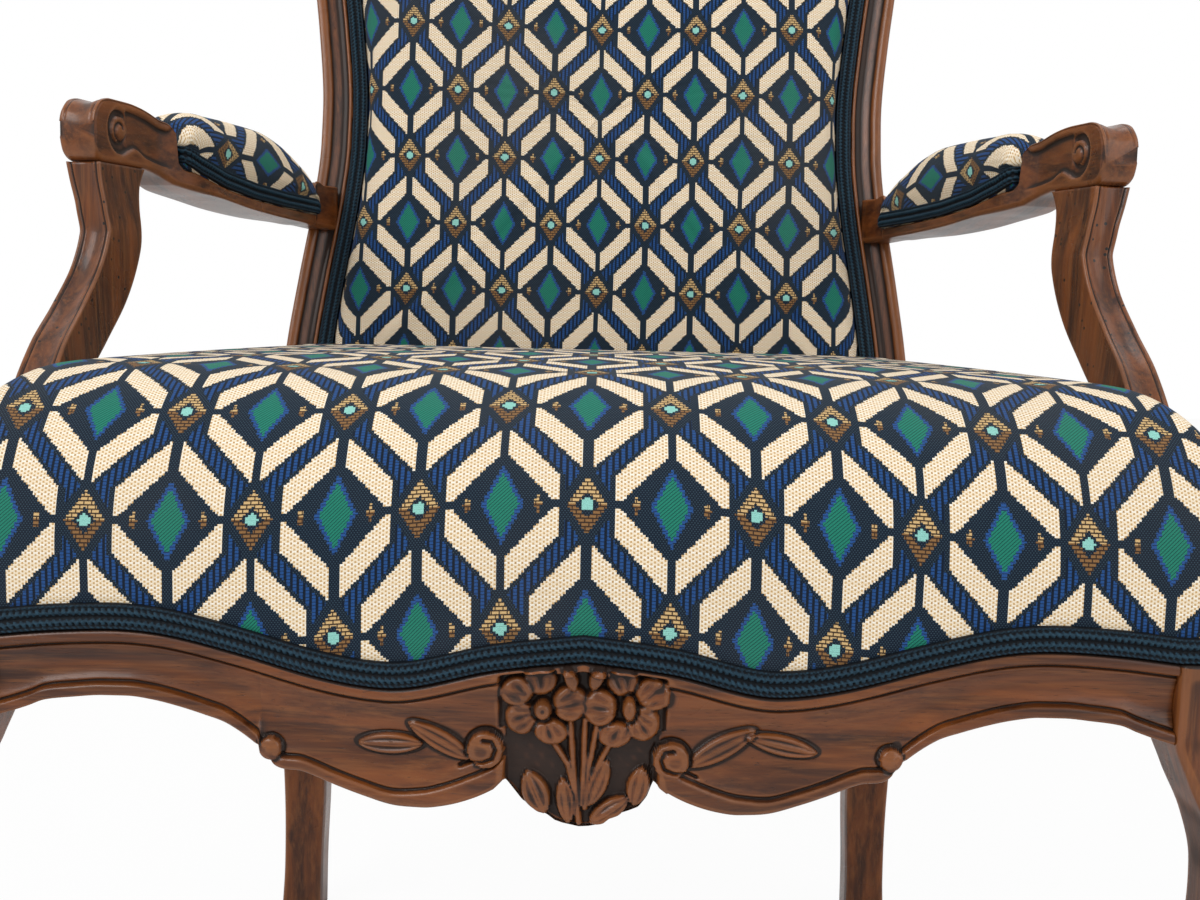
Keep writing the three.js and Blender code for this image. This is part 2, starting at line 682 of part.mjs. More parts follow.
// Rings of the seat's dome from its middle outwards, set in by an inset and sunk by a depth.
function seatDomeRings(inset, sink, steps) {
  const rings = crownShares.slice().reverse().map((share) => {
    const [drawX, drawY] = [sideDome, frontDome].map((dome) => 1 - (1 - dome) * share);
    const place = seatCrown + seatCrownRise * (1 - share * share);
    return domeRing(inset, drawX, drawY, place, sink);
  });
  for (let i = steps; i >= 0; i -= 1) {
    const angle = ((Math.PI / 2) * i) / steps;
    const [drawX, drawY] = [sideDome, frontDome].map((dome) => dome * (1 - Math.cos(angle)));
    const place = lerp(railTop + edgeRise, seatCrown, Math.sin(angle));
    rings.push(domeRing(inset, drawX, drawY, place, sink));
  }
  return rings;
}

function seatCover() {
  const outer = railRebate - gap - coverThickness;
  const inner = railRebate - gap;
  const hem = (inset) => seatOutline(inset).map((point) => point.setZ(point.z + seam * 2));
  const rise = (inset, height) => seatOutline(inset).map((point) => point.setZ(height));
  return loft([
    ...seatDomeRings(outer, 0, quarterSteps),
    rise(outer, railTop + gap + coverThickness),
    hem(outer),
    hem(inner),
    rise(inner, railTop + gap),
    ...seatDomeRings(inner, coverThickness, quarterSteps).reverse(),
  ]);
}

const webTop = railTop + gap + webThickness * 2 + gap;
const hessianTop = webTop + gap + hessianThickness;

function seatStuffing() {
  const inset = railRebate + gap;
  const rings = seatDomeRings(inset, coverThickness + gap, quarterSteps);
  return loft([...rings, domeRing(inset, 0, 0, hessianTop + gap, 0)]);
}

function seatHessian() {
  const inset = railRebate * 2;
  return loft([webTop + gap, hessianTop].map((height) => domeRing(inset, 0, 0, height, 0)));
}

// A strip of webbing that lies over and under the strips that it crosses, in turns. Its route is a
// line from start to end, and crossings are distances along it.
function webStrip(start, end, crossings, overFirst) {
  const along = end.clone().sub(start).normalize();
  const across = at(along.y, -along.x, 0).multiplyScalar(webWidth / 2);
  const reach = webWidth / 2 + webEase;
  const stations = crossings.flatMap((distance, i) => {
    const height = (i % 2 === 0) === overFirst ? webThickness + gap : 0;
    return [[distance - reach, height], [distance + reach, height]];
  });
  const rows = [[0, 0], ...stations, [end.distanceTo(start), 0]];
  return loft(
    rows.map(([distance, height]) =>
      [[-1, 0], [1, 0], [1, webThickness], [-1, webThickness]].map(([side, up]) =>
        start
          .clone()
          .addScaledVector(along, distance)
          .addScaledVector(across, side)
          .setZ(railTop + gap + height + up),
      ),
    ),
  );
}

// A strip bent along an outline: its section lies between two insets and two heights over it.
function gimpAlong(path, wrap) {
  const edge = gimpThickness * 0.6;
  const section = [
    [0, 0], [0, gimpWidth], [edge, gimpWidth], [gimpThickness, gimpWidth / 2], [edge, 0],
  ];
  return path.map((point) => section.map(([proud, across]) => wrap(point, proud, across)));
}

// The outline's own stations along a side rail between two shares of it.
function sideStations(fromShare, toShare) {
  const between = Array.from({ length: sideSteps + 1 }, (_, i) => i / sideSteps).filter(
    (share) => share > fromShare && share < toShare,
  );
  return [fromShare, ...between, toShare];
}

const gimpInset = railRebate - gap - coverThickness - gap;

function seatGimpSide(fromShare, toShare) {
  return loft(
    gimpAlong(sideStations(fromShare, toShare), (share, proud, across) =>
      sidePoint(share, gimpInset - proud).setZ(cornerLine + seam * 2 + across),
    ),
  );
}

const supportShare = (-armFront - supportSweep - sideStart) / (sideEnd - sideStart);

function seatGimpFront() {
  const cornerEnd = frontPlaces.length + cornerSteps + 1;
  const half = (proud) => [
    ...seatOutline(gimpInset - proud).slice(0, cornerEnd),
    ...sideStations(0, supportShare).map((share) =>
      sidePoint(share, gimpInset - proud).setZ(cornerLine),
    ),
  ];
  const lines = gimpAlong([0], (_, proud, across) => [proud, across])[0].map(([proud, across]) => {
    const right = half(proud);
    const left = right.slice(1).reverse().map((point) => at(-point.x, point.y, point.z));
    return [...left, ...right].map((point) => point.setZ(point.z + seam * 2 + across));
  });
  return loft(lines[0].map((_, i) => lines.map((line) => line[i])));
}

// The outline of the back's opening: points on the plane of the back, set in from the outer edge.
const backSteps = 10;
const backFootShares = [-0.75, -0.5, -0.25, 0, 0.25, 0.5, 0.75];

function backOutline(inset) {
  const foot = lowerRailFoot + inset;
  const right = [];
  for (let i = 0; i <= backSteps; i += 1) {
    const z = lerp(foot, stileTop, i / backSteps);
    right.push(at(outerEdge(z) - inset, 0, z));
  }
  const crest = crestEdge()
    .slice(1, -1)
    .map(({ point, inward }) => point.clone().addScaledVector(inward, inset));
  const left = right.slice().reverse().map((point) => at(-point.x, 0, point.z));
  const bottom = backFootShares.map((share) => at(share * right[0].x, 0, foot));
  return [...right, ...crest, ...left, ...bottom];
}

const backMiddle = (lowerRailFoot + backTop) / 2;

function backRing(outline, draw, depth) {
  return outline.map((point) =>
    onBack(point.x * (1 - draw), lerp(point.z, backMiddle, draw), depth),
  );
}

// The padded front of the back: a crowned cover over its stuffing, with a flat margin that the
// gimp lies on. Rows: how far the outline is drawn in, and the rise as a share of backPadHeight.
const backDomeShares = [
  [0, 0.06], [0.012, 0.3], [0.05, 0.56], [0.14, 0.78], [0.36, 0.93], [0.75, 1],
];
const hessianFace = frameRebate - seam - hessianThickness;
const marginFace = hessianFace - gap - coverThickness;

function backDome(inset, sink) {
  const outline = backOutline(inset);
  return backDomeShares.map(([draw, rise]) =>
    backRing(outline, draw, marginFace + sink - backPadHeight * rise),
  );
}

const marginEdge = frameBead + seam;
const domeEdge = marginEdge + gimpWidth + seam;

function backCover() {
  const foot = hessianFace - gap;
  return loft([
    ...backDome(domeEdge, 0).reverse(),
    backRing(backOutline(domeEdge), 0, marginFace),
    backRing(backOutline(marginEdge), 0, marginFace),
    backRing(backOutline(marginEdge), 0, foot),
    backRing(backOutline(domeEdge + coverThickness), 0, foot),
    ...backDome(domeEdge + coverThickness, coverThickness),
  ]);
}

function backStuffing() {
  const inset = domeEdge + coverThickness + gap;
  return loft([
    backRing(backOutline(inset), 0, hessianFace - gap),
    ...backDome(inset, coverThickness + gap),
  ]);
}

// A sheet over the frame's face or back and its opening.
const sheetDrawShare = 0.5;

function backSheet(inset, depth, thickness) {
  const outline = backOutline(frameWidth);
  const rings = [[backOutline(inset), 0], [outline, 0], [outline, sheetDrawShare]];
  const layer = (level) => rings.map(([ring, draw]) => backRing(ring, draw, level));
  return loft([...layer(depth).reverse(), ...layer(depth + thickness)]);
}

function backGimp(inset, depth, direction) {
  const path = backOutline(inset);
  const inner = backOutline(inset + gimpWidth);
  return loft(
    gimpAlong(path.map((_, i) => i), (i, proud, across) => {
      const place = path[i].clone().lerp(inner[i], across / gimpWidth);
      return onBack(place.x, place.z, depth + direction * proud);
    }),
    true,
  );
}

// An arm pad lies on the seat cut for it in the arm, between its knuckle and its tongue.
const padSeatShares = armShares.filter(([place]) => place > 0.205 && place < 0.875);
const padStart = padSeatShares[0][0] * armLength + gimpThickness + seam;
const padEnd = padSeatShares[padSeatShares.length - 1][0] * armLength - gimpThickness - seam;
const padLength = padEnd - padStart;
function padSeat(along) {
  const place = along / armLength;
  const rows = padSeatShares;
  const next = Math.max(rows.findIndex(([start]) => start > place), 1);
  const [start, top] = rows[next - 1];
  const [end, after] = rows[next];
  return armTop - armHeight * lerp(top, after, (place - start) / (end - start)) + gap * 2;
}
const padShares = [
  [0, 0.5], [0.03, 0.76], [0.09, 0.94], [0.2, 1], [0.35, 1], [0.5, 1], [0.65, 1],
  [0.8, 0.94], [0.92, 0.78], [0.98, 0.56], [1, 0.4],
];
const padCrownShares = [[0, 0.74], [0.12, 0.85], [0.55, 1.03], [0.85, 0.82], [1, 0.62]];
const padCrown = throughKnots(padCrownShares);
const padHalf = (size) => (padWidth / 2) * Math.min(1, 0.7 + 0.3 * size);
const padWaist = 0.86; // the pad's half width at its foot, as a share of that higher up

function armPad() {
  return loft(
    padShares.map(([place, size]) => {
      const along = padStart + place * padLength;
      const foot = padSeat(along);
      const half = padHalf(size);
      const height = padHeight * padCrown(place) * size;
      const edge = Math.min(gimpWidth, height * 0.6);
      const wall = (share) => lerp(edge, height, share);
      return [
        [-half * padWaist, 0], [half * padWaist, 0], [half * padWaist, edge],
        [half, wall(0.35)], [half * 0.86, wall(0.75)], [half * 0.5, wall(0.95)], [0, height],
        [-half * 0.5, wall(0.95)], [-half * 0.86, wall(0.75)], [-half, wall(0.35)],
        [-half * padWaist, edge],
      ].map(([across, up]) => armPoint(along, across, foot + up));
    }),
  );
}

// The gimp round the foot of an arm pad.
function armGimp() {
  const side = padShares.map(([place, size]) => [place * padLength, padHalf(size) * padWaist]);
  const outline = [...side, ...side.slice().reverse().map(([along, across]) => [along, -across])];
  const room = gap * 2;
  const outward = outline.map((here, i) => {
    const before = outline[(i + outline.length - 1) % outline.length];
    const after = outline[(i + 1) % outline.length];
    const [first, second] = [[before, here], [here, after]].map(([start, end]) =>
      new THREE.Vector2(start[1] - end[1], end[0] - start[0]).normalize(),
    );
    return first.clone().add(second).divideScalar(1 + first.dot(second));
  });
  const sizes = [...padShares, ...padShares.slice().reverse()];
  return loft(
    gimpAlong(outline.map((_, i) => i), (i, proud, across) => {
      const [place, size] = sizes[i];
      const edge = Math.min(gimpWidth, padHeight * padCrown(place) * size * 0.6);
      const along = padStart + outline[i][0];
      const reach = outward[i].clone().multiplyScalar(room + proud);
      const foot = Math.max(padSeat(along), padSeat(along + reach.x));
      const up = (across / gimpWidth) * (edge - seam);
      return armPoint(along + reach.x, outline[i][1] + reach.y, foot + up);
    }),
    true,
  );
}

// Materials
const finish = (color, roughness) =>
  new THREE.MeshStandardMaterial({ color, roughness, metalness: 0 });
const walnut = finish(0x6e3f22, 0.45);
const fabric = finish(0x1c3a4a, 0.9);
const trim = finish(0x0d2c38, 0.85);
const jute = finish(0xa98d62, 0.95);
const horsehair = finish(0x4a4038, 1);

const chair = new THREE.Group();
const seatFrame = new THREE.Group();
const backFrame = new THREE.Group();
const arms = new THREE.Group();
const upholstery = new THREE.Group();
chair.add(seatFrame, backFrame, arms, upholstery);

function add(group, name, solid, material) {
  const { vertProperties, triVerts } = solid.getMesh();
  const geometry = new THREE.BufferGeometry();
  geometry.setAttribute("position", new THREE.BufferAttribute(vertProperties, 3));
  geometry.setIndex(new THREE.BufferAttribute(triVerts, 1));
  const flat = geometry.toNonIndexed();
  flat.computeVertexNormals();
  const mesh = new THREE.Mesh(flat, material);
  mesh.name = name;
  group.add(mesh);
}

function addPair(group, name, solid, material) {
  add(group, `${name}_right`, solid, material);
  add(group, `${name}_left`, mirrored(solid), material);
}

const both = (solid) => solid.add(mirrored(solid));

// Stiles and what is coped to them
const stileRoom = stile(gap);
const bothStileRoom = both(stileRoom);
const supportRoom = armSupport(gap);
const tenonHalf = (long, thick, tall) => at(long / 2, thick / 2, tall / 2);

const frontTenon = (grow) =>
  tenon(
    at(railHalf, railThickness * 0.6 - frontReach, railTop - railDrop * 0.35),
    tenonHalf(tenonLength * 2, tenonThickness, railDrop * 0.28),
    grow,
  );
const sideFrontTenon = (grow) =>
  tenon(
    at(frontHalfWidth - headWidth / 2, sideStart, railTop - sideRailDrop / 2),
    tenonHalf(tenonThickness, tenonLength, sideRailDrop / 2),
    grow,
  );
const sideRearTenon = (grow) =>
  tenon(
    at(rearHalfWidth - frameWidth / 2, sideEnd, railTop - sideRailDrop / 2),
    tenonHalf(tenonThickness, tenonLength, sideRailDrop / 2),
    grow,
  );
const armTenon = (grow) =>
  tenon(
    at(armHalfSpanRear, armRear, armTop - armHeight * 1.2),
    tenonHalf(tenonThickness, tenonLength, armHeight / 2),
    grow,
  );
const supportTenon = (grow) =>
  tenon(
    at(armHalfSpan, -armFront, armTop - armHeight),
    tenonHalf(tenonThickness, tenonThickness * 1.5, tenonLength),
    grow,
  );
const crestTenon = (grow) =>
  tenon(
    onBack(outerEdge(stileTop) - frameWidth / 2, stileTop, frameDepth * 0.6),
    tenonHalf(frameWidth / 2, tenonThickness / 2, tenonLength * 1.5),
    grow,
  );

const stileSolid = stile()
  .subtract(sideRearTenon(gap))
  .subtract(armTenon(gap))
  .subtract(crestTenon(gap));
addPair(backFrame, "rear_stile", stileSolid, walnut);
add(backFrame, "crest_rail", crestRail().add(both(crestTenon(0))), walnut);
add(backFrame, "lower_back_rail", largest(lowerBackRail().subtract(bothStileRoom)), walnut);

const carvedRail = carving().reduce((rail, form) => rail.add(form), frontRail());
add(seatFrame, "front_rail", carvedRail.add(both(frontTenon(0))).simplify(gap / 5), walnut);
const legHead = frontLeg().subtract(frontTenon(gap)).subtract(sideFrontTenon(gap));
const legLine = block(
  at(0, -frontReach - overrun, cornerLine - railDrop),
  at(railHalf + gap, 0, railTop + overrun),
);
addPair(seatFrame, "front_leg", largest(legHead.subtract(legLine)), walnut);
const sideSolid = largest(sideRail().subtract(stileRoom).subtract(supportRoom));
addPair(
  seatFrame,
  "side_rail",
  sideSolid.add(sideFrontTenon(0)).add(sideRearTenon(0)),
  walnut,
);
add(seatFrame, "back_rail", largest(backRail().subtract(bothStileRoom)), walnut);

addPair(arms, "arm_support", armSupport().add(supportTenon(0)), walnut);
const armSolid = largest(arm().subtract(stileRoom)).subtract(supportTenon(gap));
addPair(arms, "armrest", armSolid.add(armTenon(0)), walnut);
addPair(upholstery, "arm_pad", armPad(), fabric);
addPair(upholstery, "arm_gimp", armGimp(), trim);

const posts = bothStileRoom.add(both(armSupport(gap * 2)));
add(upholstery, "seat_cover", largest(seatCover().subtract(posts)), fabric);
add(upholstery, "seat_stuffing", largest(seatStuffing().subtract(posts)), horsehair);
add(upholstery, "seat_hessian", largest(seatHessian().subtract(posts)), jute);
add(upholstery, "seat_gimp_front", largest(seatGimpFront().subtract(posts)), trim);
const gimpRear = seatGimpSide(supportShare, 1 + overrun / (sideEnd - sideStart));
addPair(upholstery, "seat_gimp", largest(gimpRear.subtract(posts)), trim);

// Webbing: strips that run from front to back, and strips that cross them
const longStrips = 4;
const crossStrips = 3;
const middles = (count, start, end) =>
  Array.from({ length: count }, (_, i) => lerp(start, end, (i + 0.5) / count));
const webFront = railThickness * 0.7 - faceReach;
const webRear = backRailFace + backRailThickness * 0.7;
const webRoom = rearHalfWidth - frameWidth - webWidth / 2 - webEase;
const webSpan = Math.min(railHalf - headWidth, (webRoom * longStrips) / (longStrips - 1));
const longPlaces = middles(longStrips, -webSpan, webSpan);
const crossPlaces = middles(crossStrips, sideStart, sideEnd);
longPlaces.forEach((x, i) => {
  const crossings = crossPlaces.map((y) => y - webFront);
  const strip = webStrip(at(x, webFront, 0), at(x, webRear, 0), crossings, i % 2 === 0);
  add(upholstery, `seat_web_long_${i + 1}`, strip, jute);
});
crossPlaces.forEach((y, i) => {
  const reach = sidePoint((y - sideStart) / (sideEnd - sideStart), railThickness * 0.6).x;
  const crossings = longPlaces.map((x) => x + reach);
  const strip = webStrip(at(-reach, y, 0), at(reach, y, 0), crossings, i % 2 === 1);
  add(upholstery, `seat_web_cross_${i + 1}`, largest(strip.subtract(posts)), jute);
});

add(upholstery, "back_cover", backCover(), fabric);
add(upholstery, "back_stuffing", backStuffing(), horsehair);
add(upholstery, "back_gimp", backGimp(marginEdge, marginFace - gap, -1), trim);
add(upholstery, "back_hessian", backSheet(marginEdge, hessianFace, hessianThickness), jute);
add(
  upholstery,
  "back_outer_cover",
  backSheet(frameFillet, frameDepth + seam, coverThickness / 2),
  fabric,
);
add(
  upholstery,
  "back_outer_gimp",
  backGimp(frameFillet, frameDepth + seam + gap * 2 + coverThickness / 2, 1),
  trim,
);

// The chair stands on the middle of its box
const box = new THREE.Box3().setFromObject(chair);
chair.position.set(0, -(box.min.y + box.max.y) / 2, -box.min.z);

export default chair;
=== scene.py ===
"""Open armchair: carved walnut frame, woven trellis fabric, braided gimp."""
import math

import bpy
import numpy as np
from mathutils import Matrix, Vector


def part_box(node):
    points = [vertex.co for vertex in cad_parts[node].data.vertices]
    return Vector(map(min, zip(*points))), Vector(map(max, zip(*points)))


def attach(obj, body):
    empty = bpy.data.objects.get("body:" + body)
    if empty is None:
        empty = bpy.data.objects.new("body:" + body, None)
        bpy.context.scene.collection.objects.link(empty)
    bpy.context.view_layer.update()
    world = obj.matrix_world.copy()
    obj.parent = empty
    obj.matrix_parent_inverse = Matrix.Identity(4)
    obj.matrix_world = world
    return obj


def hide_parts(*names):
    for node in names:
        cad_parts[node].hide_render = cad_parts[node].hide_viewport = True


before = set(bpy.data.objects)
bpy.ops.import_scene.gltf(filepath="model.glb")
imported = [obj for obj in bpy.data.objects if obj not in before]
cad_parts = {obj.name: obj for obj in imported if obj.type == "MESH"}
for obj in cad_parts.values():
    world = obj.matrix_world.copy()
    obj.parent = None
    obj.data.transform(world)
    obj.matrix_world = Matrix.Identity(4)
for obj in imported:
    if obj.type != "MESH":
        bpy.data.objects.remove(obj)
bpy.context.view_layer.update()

# sizes, in millimetres
FRONT_HALF, FRONT_REACH, FRONT_BOW, SIDE_BOW = 312, 287, 14, 7
HEAD, PROUD, CORNER = 40, 2, 9
RAIL_TOP, RAIL_DROP, SIDE_DROP, RAIL_THICK = 392, 103, 56, 28
BACK_DROP, BACK_THICK = 50, 24
REAR_HALF, BACK_TOP, BACK_REACH, HOLLOW = 250, 944, 312, 30
FRAME_W, FRAME_D, CREST_W, STILE_TOP, LOWER_FOOT, REAR_FOOT = 36, 29, 44, 828, 405, 33
ARM_FRONT, ARM_HALF, ARM_REAR_HALF, ARM_TOP = 84, 292, 223.5, 636
ARM_H, ARM_W, ARM_SEAT_W = 37, 22.5, 42
PAD_W, PAD_H = 46, 50
BEAD, ARRIS, GROOVE, COVE, REBATE = 5.6, 1.2, 3, 5.5, 5
FILLET, INNER_BEAD, FRAME_REBATE = 8.5, 24, 6
CROWN, FRONT_DOME, SIDE_DOME, CROWN_RISE = 490, 0.375, 0.145, 5
COVER, GIMP_W, GIMP_T, BACK_PAD, HEM = 2.4, 12, 3.4, 34, 22
GAP, SEAM = 0.3, 0.8
RAIL_HALF = FRONT_HALF - HEAD
FACE_HALF, FACE_REACH = FRONT_HALF - PROUD, FRONT_REACH - PROUD
# the frame's middle: the knee of a front leg reaches 301.8 mm forward of the design's origin
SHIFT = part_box("front_leg_right")[0][1] * 1000 + 301.8


def lerp(a, b, t):
    return a + (b - a) * t


def smooth(a, b, x):
    t = np.clip((np.asarray(x, float) - a) / (b - a), 0, 1)
    return t * t * (3 - 2 * t)


def bell(x, middle, width):
    """A smooth bump of height 1 round a middle."""
    return np.exp(-((x - middle) / width) ** 2)


def rounded(x, power=2):
    """The height of a round form of half width 1: a circle for power 2, and squarer above."""
    return np.sqrt(np.clip(1 - x ** power, 0, 1))


def knots(rows):
    """A smooth curve through sorted (place, value) rows, which doesn't overshoot them."""
    p, v = np.array(rows, float).T
    m = np.zeros(len(p))
    for i in range(len(p)):
        a, b = max(i - 1, 0), min(i + 1, len(p) - 1)
        turns = 0 < i < len(p) - 1 and (v[i] - v[a]) * (v[b] - v[i]) <= 0
        m[i] = 0 if turns else (v[b] - v[a]) / (p[b] - p[a])

    def curve(x):
        x = np.asarray(x, float)
        i = np.clip(np.searchsorted(p, x, side="left") - 1, 0, len(p) - 2)
        span = p[i + 1] - p[i]
        t = np.clip((x - p[i]) / span, 0, 1)
        ease = t * t * (3 - 2 * t)
        bend = t * (1 - t) * span
        return lerp(v[i], v[i + 1], ease) + bend * ((1 - t) * m[i] - t * m[i + 1])

    return curve


rail_foot = knots([
    (0, 0.995), (0.044, 0.98), (0.081, 0.913), (0.121, 0.786), (0.145, 0.83), (0.179, 0.876),
    (0.222, 0.915), (0.268, 0.934), (0.316, 0.93), (0.366, 0.896), (0.412, 0.857), (0.469, 0.803),
    (0.515, 0.786), (0.544, 0.7), (0.597, 0.603), (0.639, 0.563), (0.684, 0.528), (0.725, 0.503),
    (0.771, 0.488), (0.809, 0.488), (0.857, 0.498), (0.908, 0.515), (0.935, 0.543),
    (0.967, 0.572), (1, 0.598)])
rail_line = knots([
    (0, 0.252), (0.145, 0.302), (0.327, 0.408), (0.44, 0.375), (0.585, 0.28), (0.7, 0.212),
    (0.79, 0.192), (0.9, 0.205), (1, 0.232)])
bow = knots([(0, 1), (0.15, 0.93), (0.35, 0.5), (0.55, 0.12), (0.75, 0), (1, 0)])
side_foot = knots([(0, 1.1), (0.1, 0.9), (0.25, 0.8), (0.5, 0.78), (0.75, 0.84), (0.92, 1), (1, 1.1)])
rear_line = knots([
    (0, 0.785), (0.064, 0.756), (0.138, 0.712), (0.265, 0.651), (0.36, 0.628), (0.415, 0.635),
    (0.516, 0.692), (0.657, 0.782), (0.805, 0.878), (1, 1)])
stile_edge = knots([
    (0, 1.028), (0.05, 1.012), (0.138, 1), (0.25, 1), (0.415, 1), (0.466, 0.997), (0.516, 0.985),
    (0.572, 0.958), (0.636, 0.924), (0.689, 0.908), (0.731, 0.91), (0.784, 0.93), (0.837, 0.955),
    (0.877, 0.964)])
rear_leg_width = knots([(0, 1), (0.05, 0.94), (0.14, 1.02), (0.3, 1.09), (1, 1.09)])
CORNER_LINE = RAIL_TOP - RAIL_DROP * float(rail_line(1))
SIDE_START = HEAD - FRONT_REACH


def back_face(x, z):
    return BACK_REACH * rear_line(np.asarray(z) / BACK_TOP) - HOLLOW * (np.asarray(x) / REAR_HALF) ** 2


def on_back(x, z, depth):
    x, z, depth = np.broadcast_arrays(x, z, depth)
    return np.stack([x, back_face(x, z) + depth, z], -1)


def outer_edge(z):
    return REAR_HALF * stile_edge(np.asarray(z) / BACK_TOP)


SIDE_END = float(back_face(REAR_HALF, RAIL_TOP))
BACK_RAIL_FACE = float(back_face(REAR_HALF - FRAME_W, RAIL_TOP)) + ARRIS * 3
REAR_COVER = BACK_RAIL_FACE + BACK_THICK


def side_point(share, inset):
    """Points of the right side rail's face, inset from it, as (x, y) columns."""
    share, inset = np.broadcast_arrays(np.asarray(share, float), inset)
    start = np.array([FACE_HALF, SIDE_START])
    end = np.array([REAR_HALF - PROUD, SIDE_END])
    along = (end - start) / np.linalg.norm(end - start)
    inward = np.array([-along[1], along[0]])
    swell = SIDE_BOW * np.sin(math.pi * np.clip(share, 0, 1))
    return start + (end - start) * share[..., None] + inward * (inset - swell)[..., None]


def front_face(x):
    return -(FACE_REACH + FRONT_BOW * bow(np.minimum(np.abs(x) / RAIL_HALF, 1)))


# meshes
def place(points):
    """Millimetres of the design to metres of the frame."""
    p = np.asarray(points, float).reshape(-1, 3).copy()
    p[:, 1] += SHIFT
    return p / 1000


def make(name, points, faces, material, replaces, uv=None):
    """A smooth piece of the chair with its material, which stands for CAD nodes."""
    mesh = bpy.data.meshes.new(name)
    mesh.from_pydata([tuple(v) for v in place(points).tolist()], [], [tuple(f) for f in faces])
    mesh.polygons.foreach_set("use_smooth", [True] * len(mesh.polygons))
    if uv is not None:
        layer = mesh.uv_layers.new(name="weave")
        loops = np.zeros(len(mesh.loops), int)
        mesh.loops.foreach_get("vertex_index", loops)
        layer.data.foreach_set("uv", np.asarray(uv, float).reshape(-1, 2)[loops].ravel())
    obj = bpy.data.objects.new(name, mesh)
    bpy.context.scene.collection.objects.link(obj)
    obj.data.materials.append(material)
    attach(obj, "root")
    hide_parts(*replaces)
    return obj


def grid_faces(rows, columns, closed=False):
    """Faces with four corners between rings; closed also joins the last ring to the first."""
    r = np.arange(rows if closed else rows - 1)
    c = np.arange(columns)
    a = (r[:, None] * columns + c[None]).ravel()
    b = (r[:, None] * columns + (c[None] + 1) % columns).ravel()
    n = ((r + 1) % rows)[:, None] * columns
    return np.stack([a, b, (n + (c[None] + 1) % columns).ravel(), (n + c[None]).ravel()], 1).tolist()


def add_up(total, places, values):
    """Adds rows of values to the rows of a total at the given places."""
    for k in range(total.shape[1]):
        total[:, k] += np.bincount(places, values[:, k], len(total))


def hollow_of(p, faces):
    """How far each point lies under its smoothed neighbourhood, in millimetres, from -1 to 1."""
    f = np.array(faces)
    pairs = np.concatenate([np.stack([f[:, i], f[:, i - 1]], 1) for i in range(4)])
    e = np.unique(np.sort(pairs, 1), axis=0)
    count = np.bincount(e.ravel(), minlength=len(p)).astype(float)
    count[count == 0] = 1
    q = p.copy()
    for _ in range(14):
        total = np.zeros_like(q)
        add_up(total, e[:, 0], q[e[:, 1]])
        add_up(total, e[:, 1], q[e[:, 0]])
        q = 0.35 * q + 0.65 * total / count[:, None]
    normal = np.zeros_like(p)
    across = np.cross(p[f[:, 2]] - p[f[:, 0]], p[f[:, 3]] - p[f[:, 1]])
    for k in range(4):
        add_up(normal, f[:, k], across)
    normal /= np.linalg.norm(normal, axis=1)[:, None] + 1e-9
    return np.clip(((q - p) * normal).sum(1), -1, 1)


def solid_faces(rows, columns):
    """The faces of a closed solid through rings, with a cap at both its ends."""
    faces = grid_faces(rows, columns)
    faces.append(list(range(columns))[::-1])
    faces.append(list(range((rows - 1) * columns, rows * columns)))
    return faces


def loft(name, rings, material, replaces, closed=False, uv=None):
    """A closed solid through rings of points, with its cavities painted."""
    rings = np.asarray(rings, float)
    rows, columns = rings.shape[:2]
    p = rings.reshape(-1, 3)
    faces = grid_faces(rows, columns, True) if closed else solid_faces(rows, columns)
    quads = np.array([f for f in faces if len(f) == 4])
    a, b, c, d = (p[quads[:, k]] for k in range(4))
    volume = np.einsum("ij,ij->", a, np.cross(b, c)) + np.einsum("ij,ij->", a, np.cross(c, d))
    if volume < 0:
        faces = [f[::-1] for f in faces]
        quads = quads[:, ::-1]
    piece = make(name, p, faces, material, replaces, uv)
    layer = piece.data.attributes.new("cavity", "FLOAT", "POINT")
    layer.data.foreach_set("value", hollow_of(p, quads))
    return piece


def mirror_pair(name, rings, material, node, **options):
    """The right piece through rings, and the left one as its mirror image."""
    flips = {"right": (1, 1, 1), "left": (-1, 1, 1)}
    return [loft(f"{name}_{side}", np.array(rings) * flip, material, [f"{node}_{side}"], **options)
            for side, flip in flips.items()]


def columns_of(*parts):
    """Columns side by side, in which a single number fills its column."""
    return np.column_stack(np.broadcast_arrays(*parts))


def unit(rows):
    return rows / np.linalg.norm(rows, axis=-1)[..., None]


def length_along(points):
    """The distance of each point from the first, along the path through them."""
    return np.concatenate([[0], np.cumsum(np.linalg.norm(np.diff(points, axis=0), axis=1))])


def at_lengths(s, length, rows):
    """Rows that go with the points of a path, at other distances along it."""
    return np.column_stack([np.interp(s, length, rows[:, k]) for k in range(rows.shape[1])])


def curves_of(rows):
    """A smooth curve for each further column of an array, over its first one."""
    return [knots(rows[:, (0, k)]) for k in range(1, rows.shape[1])]


def section_counts(points, step):
    """How many steps each side of a closed section gets."""
    points = np.vstack([points, points[:1]])
    return [max(1, int(round(np.linalg.norm(b - a) / step))) for a, b in zip(points[:-1], points[1:])]


def fine_ring(points, counts, rounding=1):
    """A closed ring resampled with fixed counts, so that rings of one loft match."""
    points = np.asarray(points, float)
    out = []
    for a, b, n in zip(points, np.roll(points, -1, 0), counts):
        out += [lerp(a, b, i / n) for i in range(n)]
    out = np.array(out)
    for _ in range(rounding):
        out = 0.25 * np.roll(out, 1, 0) + 0.5 * out + 0.25 * np.roll(out, -1, 0)
    return out


